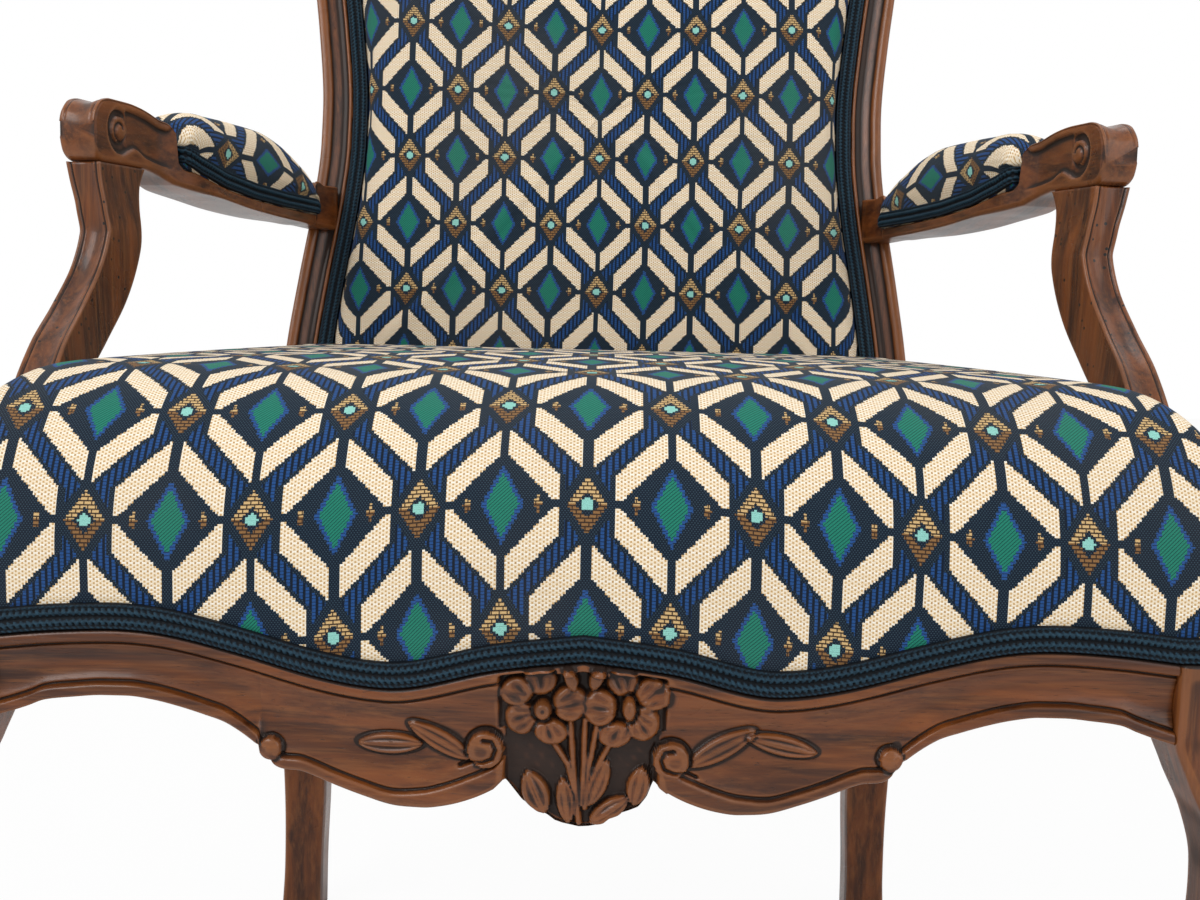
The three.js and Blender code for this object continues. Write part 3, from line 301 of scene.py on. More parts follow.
# node helper
class Graph:
    """Shader nodes written as arithmetic."""

    def __init__(self, tree):
        self.tree = tree

    def node(self, kind, **sets):
        n = self.tree.nodes.new(kind)
        for key, value in sets.items():
            setattr(n, key, value)
        return n

    def feed(self, socket, value):
        if isinstance(value, Num):
            self.tree.links.new(value.socket, socket)
        elif hasattr(value, "is_output"):
            self.tree.links.new(value, socket)
        else:
            socket.default_value = value

    def attribute(self, name):
        return Num(self, self.node("ShaderNodeAttribute", attribute_name=name).outputs["Fac"])

    def place(self):
        return self.node("ShaderNodeTexCoord").outputs["Object"]

    def weave(self):
        """The place on the cloth spread flat, in millimetres, as two numbers."""
        return self.split(self.node("ShaderNodeUVMap", uv_map="weave").outputs[0])[:2]

    def math(self, operation, *values):
        n = self.node("ShaderNodeMath", operation=operation)
        for socket, value in zip(n.inputs, values):
            self.feed(socket, value)
        return Num(self, n.outputs[0])

    def mix(self, factor, a, b):
        n = self.node("ShaderNodeMix", data_type="RGBA")
        self.feed(n.inputs[0], factor)
        for socket, value in ((n.inputs[6], a), (n.inputs[7], b)):
            self.feed(socket, (*value, 1) if isinstance(value, tuple) and len(value) == 3 else value)
        return n.outputs[2]

    def blend(self, factor, a, b):
        n = self.node("ShaderNodeMix", data_type="FLOAT")
        for socket, value in zip((n.inputs[0], n.inputs[2], n.inputs[3]), (factor, a, b)):
            self.feed(socket, value)
        return Num(self, n.outputs[0])

    def ramp(self, value, a, b, low=0.0, high=1.0):
        n = self.node("ShaderNodeMapRange", interpolation_type="SMOOTHSTEP")
        for socket, v in zip(n.inputs, (value, a, b, low, high)):
            self.feed(socket, v)
        return Num(self, n.outputs[0])

    def noise(self, vector, scale, detail=3.0, roughness=0.55, distortion=0.0):
        n = self.node("ShaderNodeTexNoise")
        self.feed(n.inputs["Vector"], vector)
        settle(n, Scale=scale, Detail=detail, Roughness=roughness, Distortion=distortion)
        return Num(self, n.outputs["Fac"])

    def combine(self, x, y, z):
        n = self.node("ShaderNodeCombineXYZ")
        for socket, v in zip(n.inputs, (x, y, z)):
            self.feed(socket, v)
        return n.outputs[0]

    def split(self, vector):
        n = self.node("ShaderNodeSeparateXYZ")
        self.feed(n.inputs[0], vector)
        return [Num(self, s) for s in n.outputs]

    def bump(self, height, distance, strength):
        n = self.node("ShaderNodeBump")
        settle(n, Strength=strength, Distance=distance)
        self.feed(n.inputs["Height"], height)
        return n.outputs[0]


def arithmetic(operation, swapped=False):
    """A method that gives the result of a Math node."""
    def method(self, *others):
        values = (*others, self) if swapped else (self, *others)
        return self.g.math(operation, *values)

    return method


class Num:
    """A socket that takes part in arithmetic."""

    def __init__(self, graph, socket):
        self.g, self.socket = graph, socket

    def __neg__(self):
        return self.g.math("MULTIPLY", self, -1.0)

    __add__ = arithmetic("ADD")
    __radd__ = __add__
    __sub__ = arithmetic("SUBTRACT")
    __rsub__ = arithmetic("SUBTRACT", swapped=True)
    __mul__ = arithmetic("MULTIPLY")
    __rmul__ = __mul__
    __truediv__ = arithmetic("DIVIDE")
    __lt__ = arithmetic("LESS_THAN")
    __gt__ = arithmetic("GREATER_THAN")
    abs = arithmetic("ABSOLUTE")
    floor = arithmetic("FLOOR")
    fract = arithmetic("FRACT")
    min = arithmetic("MINIMUM")
    max = arithmetic("MAXIMUM")
    power = arithmetic("POWER")


def settle(node, **values):
    """Sets inputs of a node, named with underscores for their spaces."""
    for key, value in values.items():
        node.inputs[key.replace("_", " ")].default_value = value


def material(name, roughness, **inputs):
    """A material with its graph and its shader, inputs of which are set by name."""
    mat = bpy.data.materials.new(name)
    mat.use_nodes = True
    tree = mat.node_tree
    shader = tree.nodes["Principled BSDF"]
    settle(shader, Roughness=roughness, **inputs)
    return mat, Graph(tree), shader


# camera
camera_data = bpy.data.cameras.new("camera")
camera = bpy.data.objects.new("camera", camera_data)
bpy.context.scene.collection.objects.link(camera)
bpy.context.scene.camera = camera
SENSOR = 36
FOCAL, PHOTO_WIDTH = 1355, 1200  # in the photograph's pixels
camera_data.sensor_width = SENSOR
camera_data.lens = SENSOR * FOCAL / PHOTO_WIDTH
camera_data.clip_start = 0.05
camera.location = (0.005, (-888 + SHIFT) / 1000, 0.527)
PITCH, ROLL = math.radians(6.3), math.radians(1.4)
look = Vector((0, math.cos(PITCH), -math.sin(PITCH)))
up = Vector((0, math.sin(PITCH), math.cos(PITCH)))
right = Vector((1, 0, 0))
turned_right = right * math.cos(ROLL) + up * math.sin(ROLL)
turned_up = up * math.cos(ROLL) - right * math.sin(ROLL)
camera.rotation_mode = "QUATERNION"
camera.rotation_quaternion = Matrix((turned_right, turned_up, -look)).transposed().to_quaternion()

# light, floor, background
world = bpy.data.worlds.new("studio")
bpy.context.scene.world = world
world.use_nodes = True
bpy.context.scene.view_settings.view_transform = "Standard"
wg = Graph(world.node_tree)
background = world.node_tree.nodes["Background"]
path = wg.node("ShaderNodeLightPath")
seen = Num(wg, path.outputs["Is Camera Ray"]).max(Num(wg, path.outputs["Is Glossy Ray"]) * 0.6)
settle(background, Color=(1, 1, 1, 1))
wg.feed(background.inputs["Strength"], wg.blend(seen, 0.62, 1.0))


def area_lamp(name, location, target, size, power):
    data = bpy.data.lights.new(name, "AREA")
    data.shape, data.size, data.energy = "SQUARE", size, power
    lamp = bpy.data.objects.new(name, data)
    lamp.location = location
    lamp.rotation_mode = "QUATERNION"
    lamp.rotation_quaternion = (Vector(target) - Vector(location)).to_track_quat("-Z", "Y")
    bpy.context.scene.collection.objects.link(lamp)


area_lamp("key", (-1.5, -1.8, 2.3), (0, 0, 0.45), 1.5, 34)
area_lamp("fill", (1.9, -1.6, 1.5), (0, 0, 0.4), 1.8, 13)
area_lamp("top", (0.2, 0.3, 2.6), (0, 0, 0.4), 1.6, 14)

floor_mat, g, shader = material("floor", 0.9, Base_Color=(0.86, 0.86, 0.86, 1))
white = g.node("ShaderNodeEmission")
settle(white, Strength=1)
mixed = g.node("ShaderNodeMixShader")
light_path = g.node("ShaderNodeLightPath")
g.feed(mixed.inputs[0], Num(g, light_path.outputs["Is Camera Ray"]) * 0.94)
g.feed(mixed.inputs[1], shader.outputs[0])
g.feed(mixed.inputs[2], white.outputs[0])
g.feed(g.tree.nodes["Material Output"].inputs["Surface"], mixed.outputs[0])
bpy.ops.mesh.primitive_plane_add(size=12, location=(0, 0, 0))
floor = bpy.context.object
floor.name = "floor"
floor.data.materials.append(floor_mat)


# walnut
def walnut(name, grain, worm=False):
    """Waxed walnut with its grain along an axis, with dark patina and painted shade in its hollows, and
    worn on its edges.
    """
    mat, g, shader = material(
        name, 0.42, Specular_IOR_Level=0.3, Coat_Weight=0.22, Coat_Roughness=0.16)
    where = g.place()
    axes = g.split(where)
    long = axes.pop(grain)
    drift = g.noise(where, 9, 2)
    across = g.combine(long * 7 + drift * 0.7, axes[0] * 95, axes[1] * 95)
    figure = g.noise(across, 1.0, 4, 0.6, 0.6)
    streak = g.noise(g.combine(long * 16, axes[0] * 420, axes[1] * 420), 1.0, 3, 0.65)
    pores = g.noise(g.combine(long * 120, axes[0] * 1700, axes[1] * 1700), 1.0, 2, 0.5)
    cloud = g.noise(where, 11, 3, 0.6)
    cavity = g.attribute("cavity")
    tone = g.ramp(figure, 0.3, 0.72)
    color = g.mix(tone, (0.032, 0.0078, 0.0020), (0.180, 0.0490, 0.0090))
    color = g.mix(g.ramp(streak, 0.42, 0.75) * 0.45, color, (0.250, 0.088, 0.022))
    color = g.mix(g.ramp(cloud, 0.5, 0.78) * 0.6, color, (0.026, 0.008, 0.003))
    color = g.mix(g.ramp(pores, 0.66, 0.74) * 0.55, color, (0.022, 0.010, 0.006))
    worn = g.ramp(-cavity + (cloud - 0.5) * 0.12, 0.09, 0.42)
    color = g.mix(worn * 0.45, color, (0.275, 0.098, 0.030))
    # patina and painted shade: near black in the hollows, where the cavity attribute is high
    patina_and_shade = g.ramp(cavity + (g.noise(where, 60, 2) - 0.5) * 0.08, 0.0, 0.36)
    color = g.mix(patina_and_shade * 0.93, color, (0.012, 0.006, 0.004))
    if worm:
        cells = g.node("ShaderNodeTexVoronoi")
        g.feed(cells.inputs["Vector"], where)
        settle(cells, Scale=160)
        rare = g.ramp(g.split(cells.outputs["Color"])[0], 0.55, 0.57)
        hole = g.ramp(Num(g, cells.outputs["Distance"]), 0.17, 0.13) * rare
        color = g.mix(hole, color, (0.006, 0.004, 0.003))
    g.feed(shader.inputs["Base Color"], color)
    g.feed(shader.inputs["Roughness"], g.blend(patina_and_shade, g.ramp(cloud, 0.3, 0.8, 0.24, 0.42), 0.75))
    height = figure * 0.25 + streak * 0.3 - g.ramp(pores, 0.64, 0.74) * 0.5
    g.feed(shader.inputs["Normal"], g.bump(height, 0.0006, 0.55))
    return mat


walnut_x = walnut("walnut_across", 0)
walnut_y = walnut("walnut_deep", 1)
walnut_z = walnut("walnut_upright", 2)
walnut_worm = walnut("walnut_wormed", 2, worm=True)


# front rail with its carving
def dome(x, z, row):
    """Where (x, z) lies in an oval with half sizes and a turn in degrees, along both its axes."""
    cx, cz, long, wide, turn = row
    t = math.radians(turn)
    p = ((x - cx) * math.cos(t) + (z - cz) * math.sin(t)) / long
    q = (-(x - cx) * math.sin(t) + (z - cz) * math.cos(t)) / wide
    return p, q


PETAL_SPREAD = 1.2


def petal(x, z, row, hub):
    """The height of a petal that stands round a flower's hub."""
    p, q = dome(x, z, row)
    rho = np.hypot(p, q) / PETAL_SPREAD
    inside = rho < 1
    away = np.hypot(x - hub[0], z - hub[1])
    angle = np.arctan2(z - hub[1], x - hub[0])
    body = rounded(rho, 6)
    vein = 0.4 * np.cos(angle * 17) * smooth(4, 8, away)
    tilt = 0.9 * math.sin(row[0] * 1.7)
    top = 8.0 + tilt - 0.16 * np.abs(away - 9) - 1.4 * (1 - rho ** 2) + vein
    return np.where(inside, body * top, 0)


def leaf(x, z, row, rise):
    """The height of a pointed leaf with a rib along its middle and veins beside it."""
    p, q = dome(x, z, row)
    edge = np.clip(1 - p ** 2, 0, 1) ** 0.75
    side = np.abs(q) / np.maximum(edge, 1e-3)
    inside = (np.abs(p) < 1) & (side < 1)
    body = rounded(side, 4)
    rib = -0.9 * bell(q * row[3], 0, 0.55)
    vein = 0.75 * np.cos(side * 2.6 * math.pi) - 0.5 * side
    height = body * (rise + rib + vein) * (0.55 + 0.45 * np.sqrt(edge))
    return np.where(inside, np.maximum(height, 0), 0)


def ridge(distance, half, height):
    """The height of a round ridge at a distance from its middle line."""
    return np.where(distance < half, height * rounded(distance / half), 0)


def near_path(x, z, path_points):
    """The distance from (x, z) to a path through points."""
    best = np.full(np.shape(x), 1e9)
    for (ax, az), (bx, bz) in zip(path_points[:-1], path_points[1:]):
        run, rise = bx - ax, bz - az
        t = np.clip(((x - ax) * run + (z - az) * rise) / (run ** 2 + rise ** 2), 0, 1)
        best = np.minimum(best, np.hypot(x - lerp(ax, bx, t), z - lerp(az, bz, t)))
    return best


FLOWERS = (
    ((-17.8, 343.9), (4.4, 4.8), (
        (-19.2, 357.6, 6.6, 6.6, 0), (-5.6, 346.7, 7.0, 7.4, 0), (-14.0, 333.7, 6.8, 5.4, -10),
        (-27.4, 339.4, 6.4, 6.8, 0), (-29.6, 351.6, 6.8, 5.8, 20))),
    ((21.0, 345.3), (3.4, 6.0), (
        (17.7, 357.5, 6.4, 6.2, 0), (31.5, 351.6, 7.2, 6.6, -20), (27.4, 338.1, 6.6, 7.2, 0),
        (14.9, 332.6, 6.8, 5.4, 10), (7.8, 345.1, 6.8, 7.6, 0))),
)
BUDS = ((-5.5, 358.5, 6.6, 3.3, 108), (6.3, 359.2, 6.8, 3.6, 69))
SPRAYS = ((-87.4, 324.0, 15.2, 5.2, 2), (-64.3, 326.8, 16.5, 5.0, -27), (63.5, 326.3, 17.4, 5.6, 27),
          (91.5, 327.0, 17.0, 5.0, -14))
LOW_LEAVES = ((-20.5, 304.5, 11, 6.6, 114), (-6.8, 301.0, 11, 4.6, 99), (7.6, 309.6, 11.8, 5.0, 70),
              (13.0, 297.0, 11.0, 5.2, 35), (26.0, 308.5, 9.5, 5.6, 78))
STEMS = (((-5.4, 338), (-3.4, 315.6), (-0.6, 291)), ((1.3, 339), (1.1, 315.7), (0.4, 300)),
         ((6.8, 337), (3.3, 315.7), (2.0, 298)), ((12.8, 328), (6.4, 316), (3.0, 305)),
         ((-14, 330), (-6, 318), (-3.0, 306)))
CURLS = ((-43.5, 324.4), (40.6, 321.4))
HOOK = ((11.5, -8.5), (6.4, -6.0), (1.2, -5.6), (-3.2, -3.6), (-4.8, 0.6), (-3.0, 4.2), (0.8, 4.6))
KNOBS = ((-143.0, 319.2), (142.0, 320.6))
KNOB_REACH = 5.2
FOOT_LOBES = np.array([
    (-39.4, 306.5), (-35.2, 311.0), (-33.4, 309.5), (-26.4, 300.8), (-21.5, 297.8), (-19.5, 296.2),
    (-15.0, 294.2), (-11.5, 291.6), (-8.0, 290.4), (-0.6, 288.9), (4.0, 289.2), (9.2, 290.2),
    (13.0, 293.6), (16.6, 295.0), (22.0, 296.9), (26.3, 298.7), (30.0, 303.5), (32.7, 311.0),
    (36.5, 308.0), (39.4, 305.8)])


GROUND, FIELD_SPLIT, FIELD_HALF, FIELD_HALF_LOW = 7.6, 334, 37.5, 34.5
CURL_R, BOSS_R = 8.2, 5.4


def bouquet(x, z):
    """The height of the flowers, buds, stems and low leaves over their ground."""
    height = np.zeros_like(x)
    for hub, (wide, tall), petals in FLOWERS:
        for row in petals:
            height = np.maximum(height, petal(x, z, row, hub))
        away = np.hypot((x - hub[0]) / wide, (z - hub[1]) / tall)
        height = np.where((away >= 1) & (away < 1.28), np.minimum(height, 4.5), height)
        disc = rounded(away, 4) * 10.6 - 1.6 * bell(away, 0, 0.4)
        height = np.maximum(height, np.where(away < 1, disc, 0))
    for row in BUDS:
        height = np.maximum(height, leaf(x, z, row, 9.0))
    for stem in STEMS:
        height = np.maximum(height, ridge(near_path(x, z, stem), 1.7, 4.6))
    for row in LOW_LEAVES:
        height = np.maximum(height, leaf(x, z, row, 5.6))
    return height


def rail_height(x, z, foot, line):
    """How far the face of the front rail stands behind its outermost plane, with its carving."""
    ax = np.abs(x)
    wide = BEAD + 4.4 * smooth(92, 46, ax)
    low, high = z - foot, line - z
    bead_low = ARRIS * np.abs(2 * low / wide - 1) ** 2.6
    bead_high = ARRIS * np.abs(2 * high / BEAD - 1) ** 2.6
    s = np.clip((low - wide) / np.maximum(line - foot - wide - BEAD, 1), 0, 1)
    cove = GROOVE * 0.55 + (COVE - GROOVE * 0.4) * np.sin(math.pi * s) ** 0.75
    depth = np.where(low < wide, bead_low, np.where(high < BEAD, bead_high, cove))
    for edge in (low - wide, high - BEAD):
        depth = depth + 1.9 * bell(edge, 0.7, 0.75)
    ground = GROUND + 0.1 * np.sin(x * 0.9 + z * 0.31) * np.sin(z * 0.7)
    field_half = np.where(z > FIELD_SPLIT, FIELD_HALF, FIELD_HALF_LOW)
    below_line = line - BEAD * 0.8 - z + 2 * (ax > 12)
    in_ground = smooth(1.2, -1.2, ax - field_half) * smooth(-1.0, 1.0, below_line)
    depth = lerp(depth, ground, in_ground)
    depth = depth - bouquet(x, z) * smooth(0, 3, 40 - ax)
    for row in SPRAYS:
        depth = depth - leaf(x, z, row, 3.3)
        rim = np.hypot(*dome(x, z, row))
        depth = depth + 0.7 * bell(rim, 1.06, 0.06) * (rim > 1)
    for side, (cx, cz) in zip((-1, 1), CURLS):
        r = np.hypot(x - cx, z - cz)
        disc = np.where(r < CURL_R, -0.9 + 1.3 * (r / CURL_R) ** 4, 99)
        depth = np.minimum(depth, disc)
        hook = [(cx + side * u, cz + w) for u, w in HOOK]
        depth = depth + 2.8 * bell(near_path(x, z, hook), 0, 0.95)
        depth = depth + 1.6 * bell(r, CURL_R + 0.7, 0.7) * (z > cz - 4) * (side * (x - cx) > -9)
    for cx, cz in KNOBS:
        r = np.hypot(x - cx, z - cz)
        disc = np.where(r < BOSS_R, -0.6 + 1.6 * (r / BOSS_R) ** 4 - 0.8 * bell(r, 0, 1.6), 99)
        depth = np.minimum(depth, disc) + 1.2 * bell(r, BOSS_R + 0.6, 0.6)
    return depth


def front_rail():
    x = np.linspace(-RAIL_HALF, RAIL_HALF, 640)
    share = np.abs(x) / RAIL_HALF
    foot = RAIL_TOP - RAIL_DROP * rail_foot(share)
    middle = np.abs(x) < 39.4
    foot[middle] = np.interp(x[middle], FOOT_LOBES[:, 0], FOOT_LOBES[:, 1])
    for cx, cz in KNOBS:
        d = np.abs(x - cx)
        round_knob = cz - np.sqrt(np.clip(KNOB_REACH ** 2 - d ** 2, 0, None))
        foot = np.where(d < KNOB_REACH, np.minimum(foot, round_knob), foot)
    line = RAIL_TOP - RAIL_DROP * rail_line(share)
    t = np.linspace(0, 1, 120)
    z = foot[:, None] + (line - foot)[:, None] * t
    depth = rail_height(x[:, None] + 0 * z, z, foot[:, None], line[:, None])
    face = front_face(x)[:, None]
    carved = np.stack([x[:, None] + 0 * z, face + depth, z], -1)

    def column(d, height):
        return np.stack([x, front_face(x) + d, height + 0 * x], -1)[:, None]

    ease = 0.6
    back = [column(REBATE, line), column(REBATE, RAIL_TOP - ease), column(REBATE + ease, RAIL_TOP),
            column(RAIL_THICK - ease, RAIL_TOP), column(RAIL_THICK, RAIL_TOP - ease),
            column(RAIL_THICK, foot + ease), column(RAIL_THICK - ease, foot),
            column(RAIL_THICK * 0.6, foot), column(ARRIS + 4, foot)]
    rings = np.concatenate([carved, *back], 1)
    piece = loft("walnut_front_rail", rings, walnut_x, ["front_rail"])
    # the deep ground of the carving gets more cavity, so more patina and painted shade
    cavity = piece.data.attributes["cavity"].data
    values = np.zeros(len(cavity))
    cavity.foreach_get("value", values)
    values.reshape(rings.shape[:2])[:, :depth.shape[1]] += 0.35 * smooth(5.5, 7.0, depth)
    cavity.foreach_set("value", values)


front_rail()


# moulded members of the frame
def rail_section(foot, line):
    """A ring of a seat rail as (height, depth), between the foot and the line of the cover."""
    a, b = foot + BEAD, line - BEAD
    return [(foot, RAIL_THICK), (foot, ARRIS), (foot + BEAD / 2, 0), (a, ARRIS), (a + 0.3, GROOVE),
            (lerp(a, b, 0.25), COVE * 0.85), (lerp(a, b, 0.55), COVE), (lerp(a, b, 0.8), COVE * 0.8),
            (b - 0.3, GROOVE), (b, ARRIS), (line - BEAD / 2, 0), (line, ARRIS), (line, REBATE),
            (RAIL_TOP, REBATE), (RAIL_TOP, RAIL_THICK)]


def side_rails():
    middle_foot = 335
    counts = section_counts(rail_section(middle_foot, CORNER_LINE), 1.2)
    rings = []
    for share in np.linspace(0, 1, 90):
        foot = RAIL_TOP - SIDE_DROP * float(side_foot(share))
        ring = fine_ring(rail_section(foot, CORNER_LINE), counts)
        xy = side_point(share, ring[:, 1])
        rings.append(np.column_stack([xy, ring[:, 0]]))
    mirror_pair("walnut_side_rail", rings, walnut_y, "side_rail")


side_rails()


def frame_section(width, moulding):
    """A ring of the back's frame as (from the outer edge, depth), from plain at 0 to moulded at 1."""
    fl, ib = FILLET, INNER_BEAD
    moulded = [
        (0, BEAD), (ARRIS, ARRIS), (BEAD, 0), (fl, ARRIS), (fl + 0.3, GROOVE),
        (lerp(fl, ib, 0.25), COVE * 0.75),
        (lerp(fl, ib, 0.5), COVE), (lerp(fl, ib, 0.75), COVE * 0.7), (ib - BEAD / 2 - 0.3, GROOVE),
        (ib - BEAD / 2, ARRIS), (ib - ARRIS, ARRIS / 2), (ib, ARRIS), (ib, FRAME_REBATE),
        (width, FRAME_REBATE), (width, FRAME_D), (0, FRAME_D)]
    steps = len(moulded) - 5
    plain = [(0, BEAD)]
    for i in range(steps + 1):
        plain.append((lerp(ARRIS, width - ARRIS, i / steps), ARRIS if i in (0, steps) else 0))
    plain += [(width, BEAD), (width, FRAME_D), (0, FRAME_D)]
    return lerp(np.array(plain, float), np.array(moulded, float), moulding)


FRAME_COUNTS = section_counts(frame_section(FRAME_W, 1), 1.1)


def stiles():
    rings = []
    heights = [np.linspace(0, 380, 70), np.linspace(384, 420, 18), np.linspace(424, STILE_TOP, 110)]
    for z in np.concatenate(heights):
        moulding = float(smooth(RAIL_TOP - BEAD, LOWER_FOOT + BEAD, z))
        width = lerp(REAR_FOOT * float(rear_leg_width(z / BACK_TOP)), FRAME_W, moulding)
        ring = fine_ring(frame_section(width, moulding), FRAME_COUNTS, 1 if moulding > 0.5 else 3)
        rings.append(on_back(outer_edge(z) - ring[:, 0], z, ring[:, 1]))
    mirror_pair("walnut_rear_stile", rings, walnut_z, "rear_stile")


stiles()

CREST_SHARES = [
    (0.964, 0.877), (0.958, 0.899), (0.93, 0.922), (0.87, 0.943), (0.77, 0.955), (0.62, 0.961),
    (0.46, 0.968), (0.3, 0.981), (0.15, 0.994), (0, 1)]


def between(t, start, end, a, b):
    return (end - t) / (end - start) * a + (t - start) / (end - start) * b


def crest_line(count):
    """Points along the crest's outer edge, with the direction inwards, as (x, z) rows."""
    half = [(x * REAR_HALF, z * BACK_TOP) for x, z in CREST_SHARES]
    half[0] = (half[0][0], STILE_TOP + GAP)
    p = np.array(half + [(-x, z) for x, z in half[-2::-1]])
    ext = np.vstack([2 * p[0] - p[1], p, 2 * p[-1] - p[-2]])
    out = []
    for a, b, c, d in zip(ext, ext[1:], ext[2:], ext[3:]):
        tb = np.linalg.norm(b - a) ** 0.5
        tc = tb + np.linalg.norm(c - b) ** 0.5
        td = tc + np.linalg.norm(d - c) ** 0.5
        for t in np.linspace(tb, tc, 40, endpoint=False):
            ab, bc, cd = between(t, 0, tb, a, b), between(t, tb, tc, b, c), between(t, tc, td, c, d)
            abc, bcd = between(t, 0, tc, ab, bc), between(t, tb, td, bc, cd)
            out.append(between(t, tb, tc, abc, bcd))
    out.append(p[-1])
    out = np.array(out)
    length = length_along(out)
    s = np.linspace(0, length[-1], count)
    point = at_lengths(s, length, out)
    tangent = unit(np.gradient(point, axis=0))
    inward = np.column_stack([-tangent[:, 1], tangent[:, 0]])
    inward[0], inward[-1] = (-1, 0), (1, 0)
    return point, inward, s / length[-1]


def crest():
    point, inward, share = crest_line(200)
    rings = []
    for (x, z), n, s in zip(point, inward, share):
        width = lerp(FRAME_W, CREST_W, math.sin(math.pi * s) ** 4)
        ring = fine_ring(frame_section(width, 1), FRAME_COUNTS)
        px, pz = x + n[0] * ring[:, 0], z + n[1] * ring[:, 0]
        rings.append(on_back(px, pz, ring[:, 1]))
    loft("walnut_crest_rail", rings, walnut_x, ["crest_rail"])


crest()


def lower_back_rail():
    reach = float(outer_edge(LOWER_FOOT)) - FRAME_W
    rings = []
    for x in np.linspace(-reach, reach, 70):
        ring = fine_ring(frame_section(FRAME_W, 1), FRAME_COUNTS)
        rings.append(on_back(x, LOWER_FOOT + ring[:, 0], ring[:, 1]))
    loft("walnut_lower_back_rail", rings, walnut_x, ["lower_back_rail"])


lower_back_rail()


def back_rail():
    reach = REAR_HALF - FRAME_W
    low, high, front, rear = RAIL_TOP - BACK_DROP, RAIL_TOP, BACK_RAIL_FACE, REAR_COVER
    ring = fine_ring([(front, low), (rear, low), (rear, high), (front, high)], [20, 30, 20, 30])
    rings = [columns_of(x, *ring.T) for x in np.linspace(-reach, reach, 60)]
    loft("walnut_back_rail", rings, walnut_x, ["back_rail"])


back_rail()


# front legs
LEG_ROWS = np.array([
    (0, 0.2, 0.72, 0.5), (0.03, 0.3, 0.78, 0.6), (0.07, 0.05, 0.7, 0.7), (0.13, -0.45, 0.58, 0.7),
    (0.22, -0.6, 0.56, 0.7), (0.34, -0.3, 0.62, 0.6), (0.46, 0.2, 0.72, 0.5), (0.56, 0.68, 0.84, 0.4),
    (0.63, 0.95, 0.91, 0.34), (0.69, 1, 0.94, 0.28), (0.75, 0.78, 0.98, 0.22), (0.8, 0.35, 1, 0.2),
    (0.853, 0, 1, 0.2), (1, 0, 1, 0.2)])


def rounded_square(cx, cy, half, radius):
    """A ring round a square with round corners, with the same count for every size."""
    per_side, per_corner = 14, 8
    signs = ((1, 1), (-1, 1), (-1, -1), (1, -1))

    def at(k, angle):
        sx, sy = signs[k % 4]
        return np.array((cx + sx * (half - radius) + radius * math.cos(angle),
                         cy + sy * (half - radius) + radius * math.sin(angle)))

    points = []
    for k in range(4):
        points += [at(k, (k + i / (per_corner - 1)) * math.pi / 2) for i in range(per_corner)]
        a, b = points[-1], at(k + 1, (k + 1) * math.pi / 2)
        points += [lerp(a, b, i / per_side) for i in range(1, per_side)]
    return np.array(points)


def front_legs():
    curves = curves_of(LEG_ROWS)
    cx, cy = FRONT_HALF - HEAD / 2, HEAD / 2 - FRONT_REACH
    rings = []
    for z in np.concatenate([np.linspace(0, 300, 110), np.linspace(302, CORNER_LINE, 40)]):
        step, width, rounding = (float(c(z / RAIL_TOP)) for c in curves)
        half = HEAD / 2 * width
        ring = rounded_square(cx + 16 * step, cy - 16 * step, half, max(half * rounding, 3))
        rings.append(columns_of(*ring.T, z))
    shift = (REBATE + PROUD) / 2
    inner = HEAD / 2 - shift
    for z in (CORNER_LINE + 0.1, RAIL_TOP - 0.5, RAIL_TOP):
        ring = rounded_square(cx - shift, cy + shift, inner, 3)
        rings.append(columns_of(*ring.T, z))
    mirror_pair("walnut_front_leg", rings, walnut_z, "front_leg")


front_legs()


# arm supports and arms
ARM_REAR = float(back_face(ARM_REAR_HALF, ARM_TOP - ARM_H))
ARM_RUN = np.array([ARM_REAR_HALF - ARM_HALF, ARM_REAR + ARM_FRONT])
ARM_LENGTH = float(np.linalg.norm(ARM_RUN))
ALONG = ARM_RUN / ARM_LENGTH
SIDE = np.array([ALONG[1], -ALONG[0]])


def arm_point(along, across, z):
    """A point at distances along the right arm from its front end and outwards across it."""
    along, across, z = np.broadcast_arrays(along, across, z)
    x = ARM_HALF + ALONG[0] * along + SIDE[0] * across
    y = -ARM_FRONT + ALONG[1] * along + SIDE[1] * across
    return np.stack([x, y, z], -1)


def hand_moulding(across, half):
    """Depth of the moulding across the top of an arm and down its support: bead, hollow, bead."""
    edge = half - np.abs(across)
    bead = 0.9 * np.abs(np.clip(2 * edge / 2.6 - 1, -1, 1)) ** 2.4
    hollow = 0.5 + 1.7 * np.sin(np.pi / 2 * np.clip((edge - 3.4) / np.maximum(half - 3.4, 1), 0, 1))
    groove = 1.3 * bell(edge, 3.0, 0.5)
    return np.where(edge < 2.6, bead, hollow) + groove


SUPPORT_ROWS = np.array([
    (0, 0.97, -0.235, 1.28, 0.9, 0.9), (0.16, 0.91, -0.195, 1.25, 0.88, 0.9),
    (0.32, 0.75, -0.15, 1.2, 0.88, 0.88), (0.457, 0.54, -0.115, 1.1, 0.9, 0.88),
    (0.553, 0.32, -0.085, 1.04, 0.92, 0.9), (0.663, 0.12, -0.075, 1, 0.96, 0.96),
    (0.784, 0.01, -0.08, 1, 1, 1), (0.88, 0, -0.055, 1, 1, 1.12),
    (0.95, 0, -0.025, 1.04, 1, 1.4), (1, 0, -0.01, 1.1, 1, 1.8)])


SUPPORT_TENON, SUPPORT_RISE, SUPPORT_SWEEP = 30, 207, 106
SUPPORT_HALF, SUPPORT_DEPTH = 10, 17.5


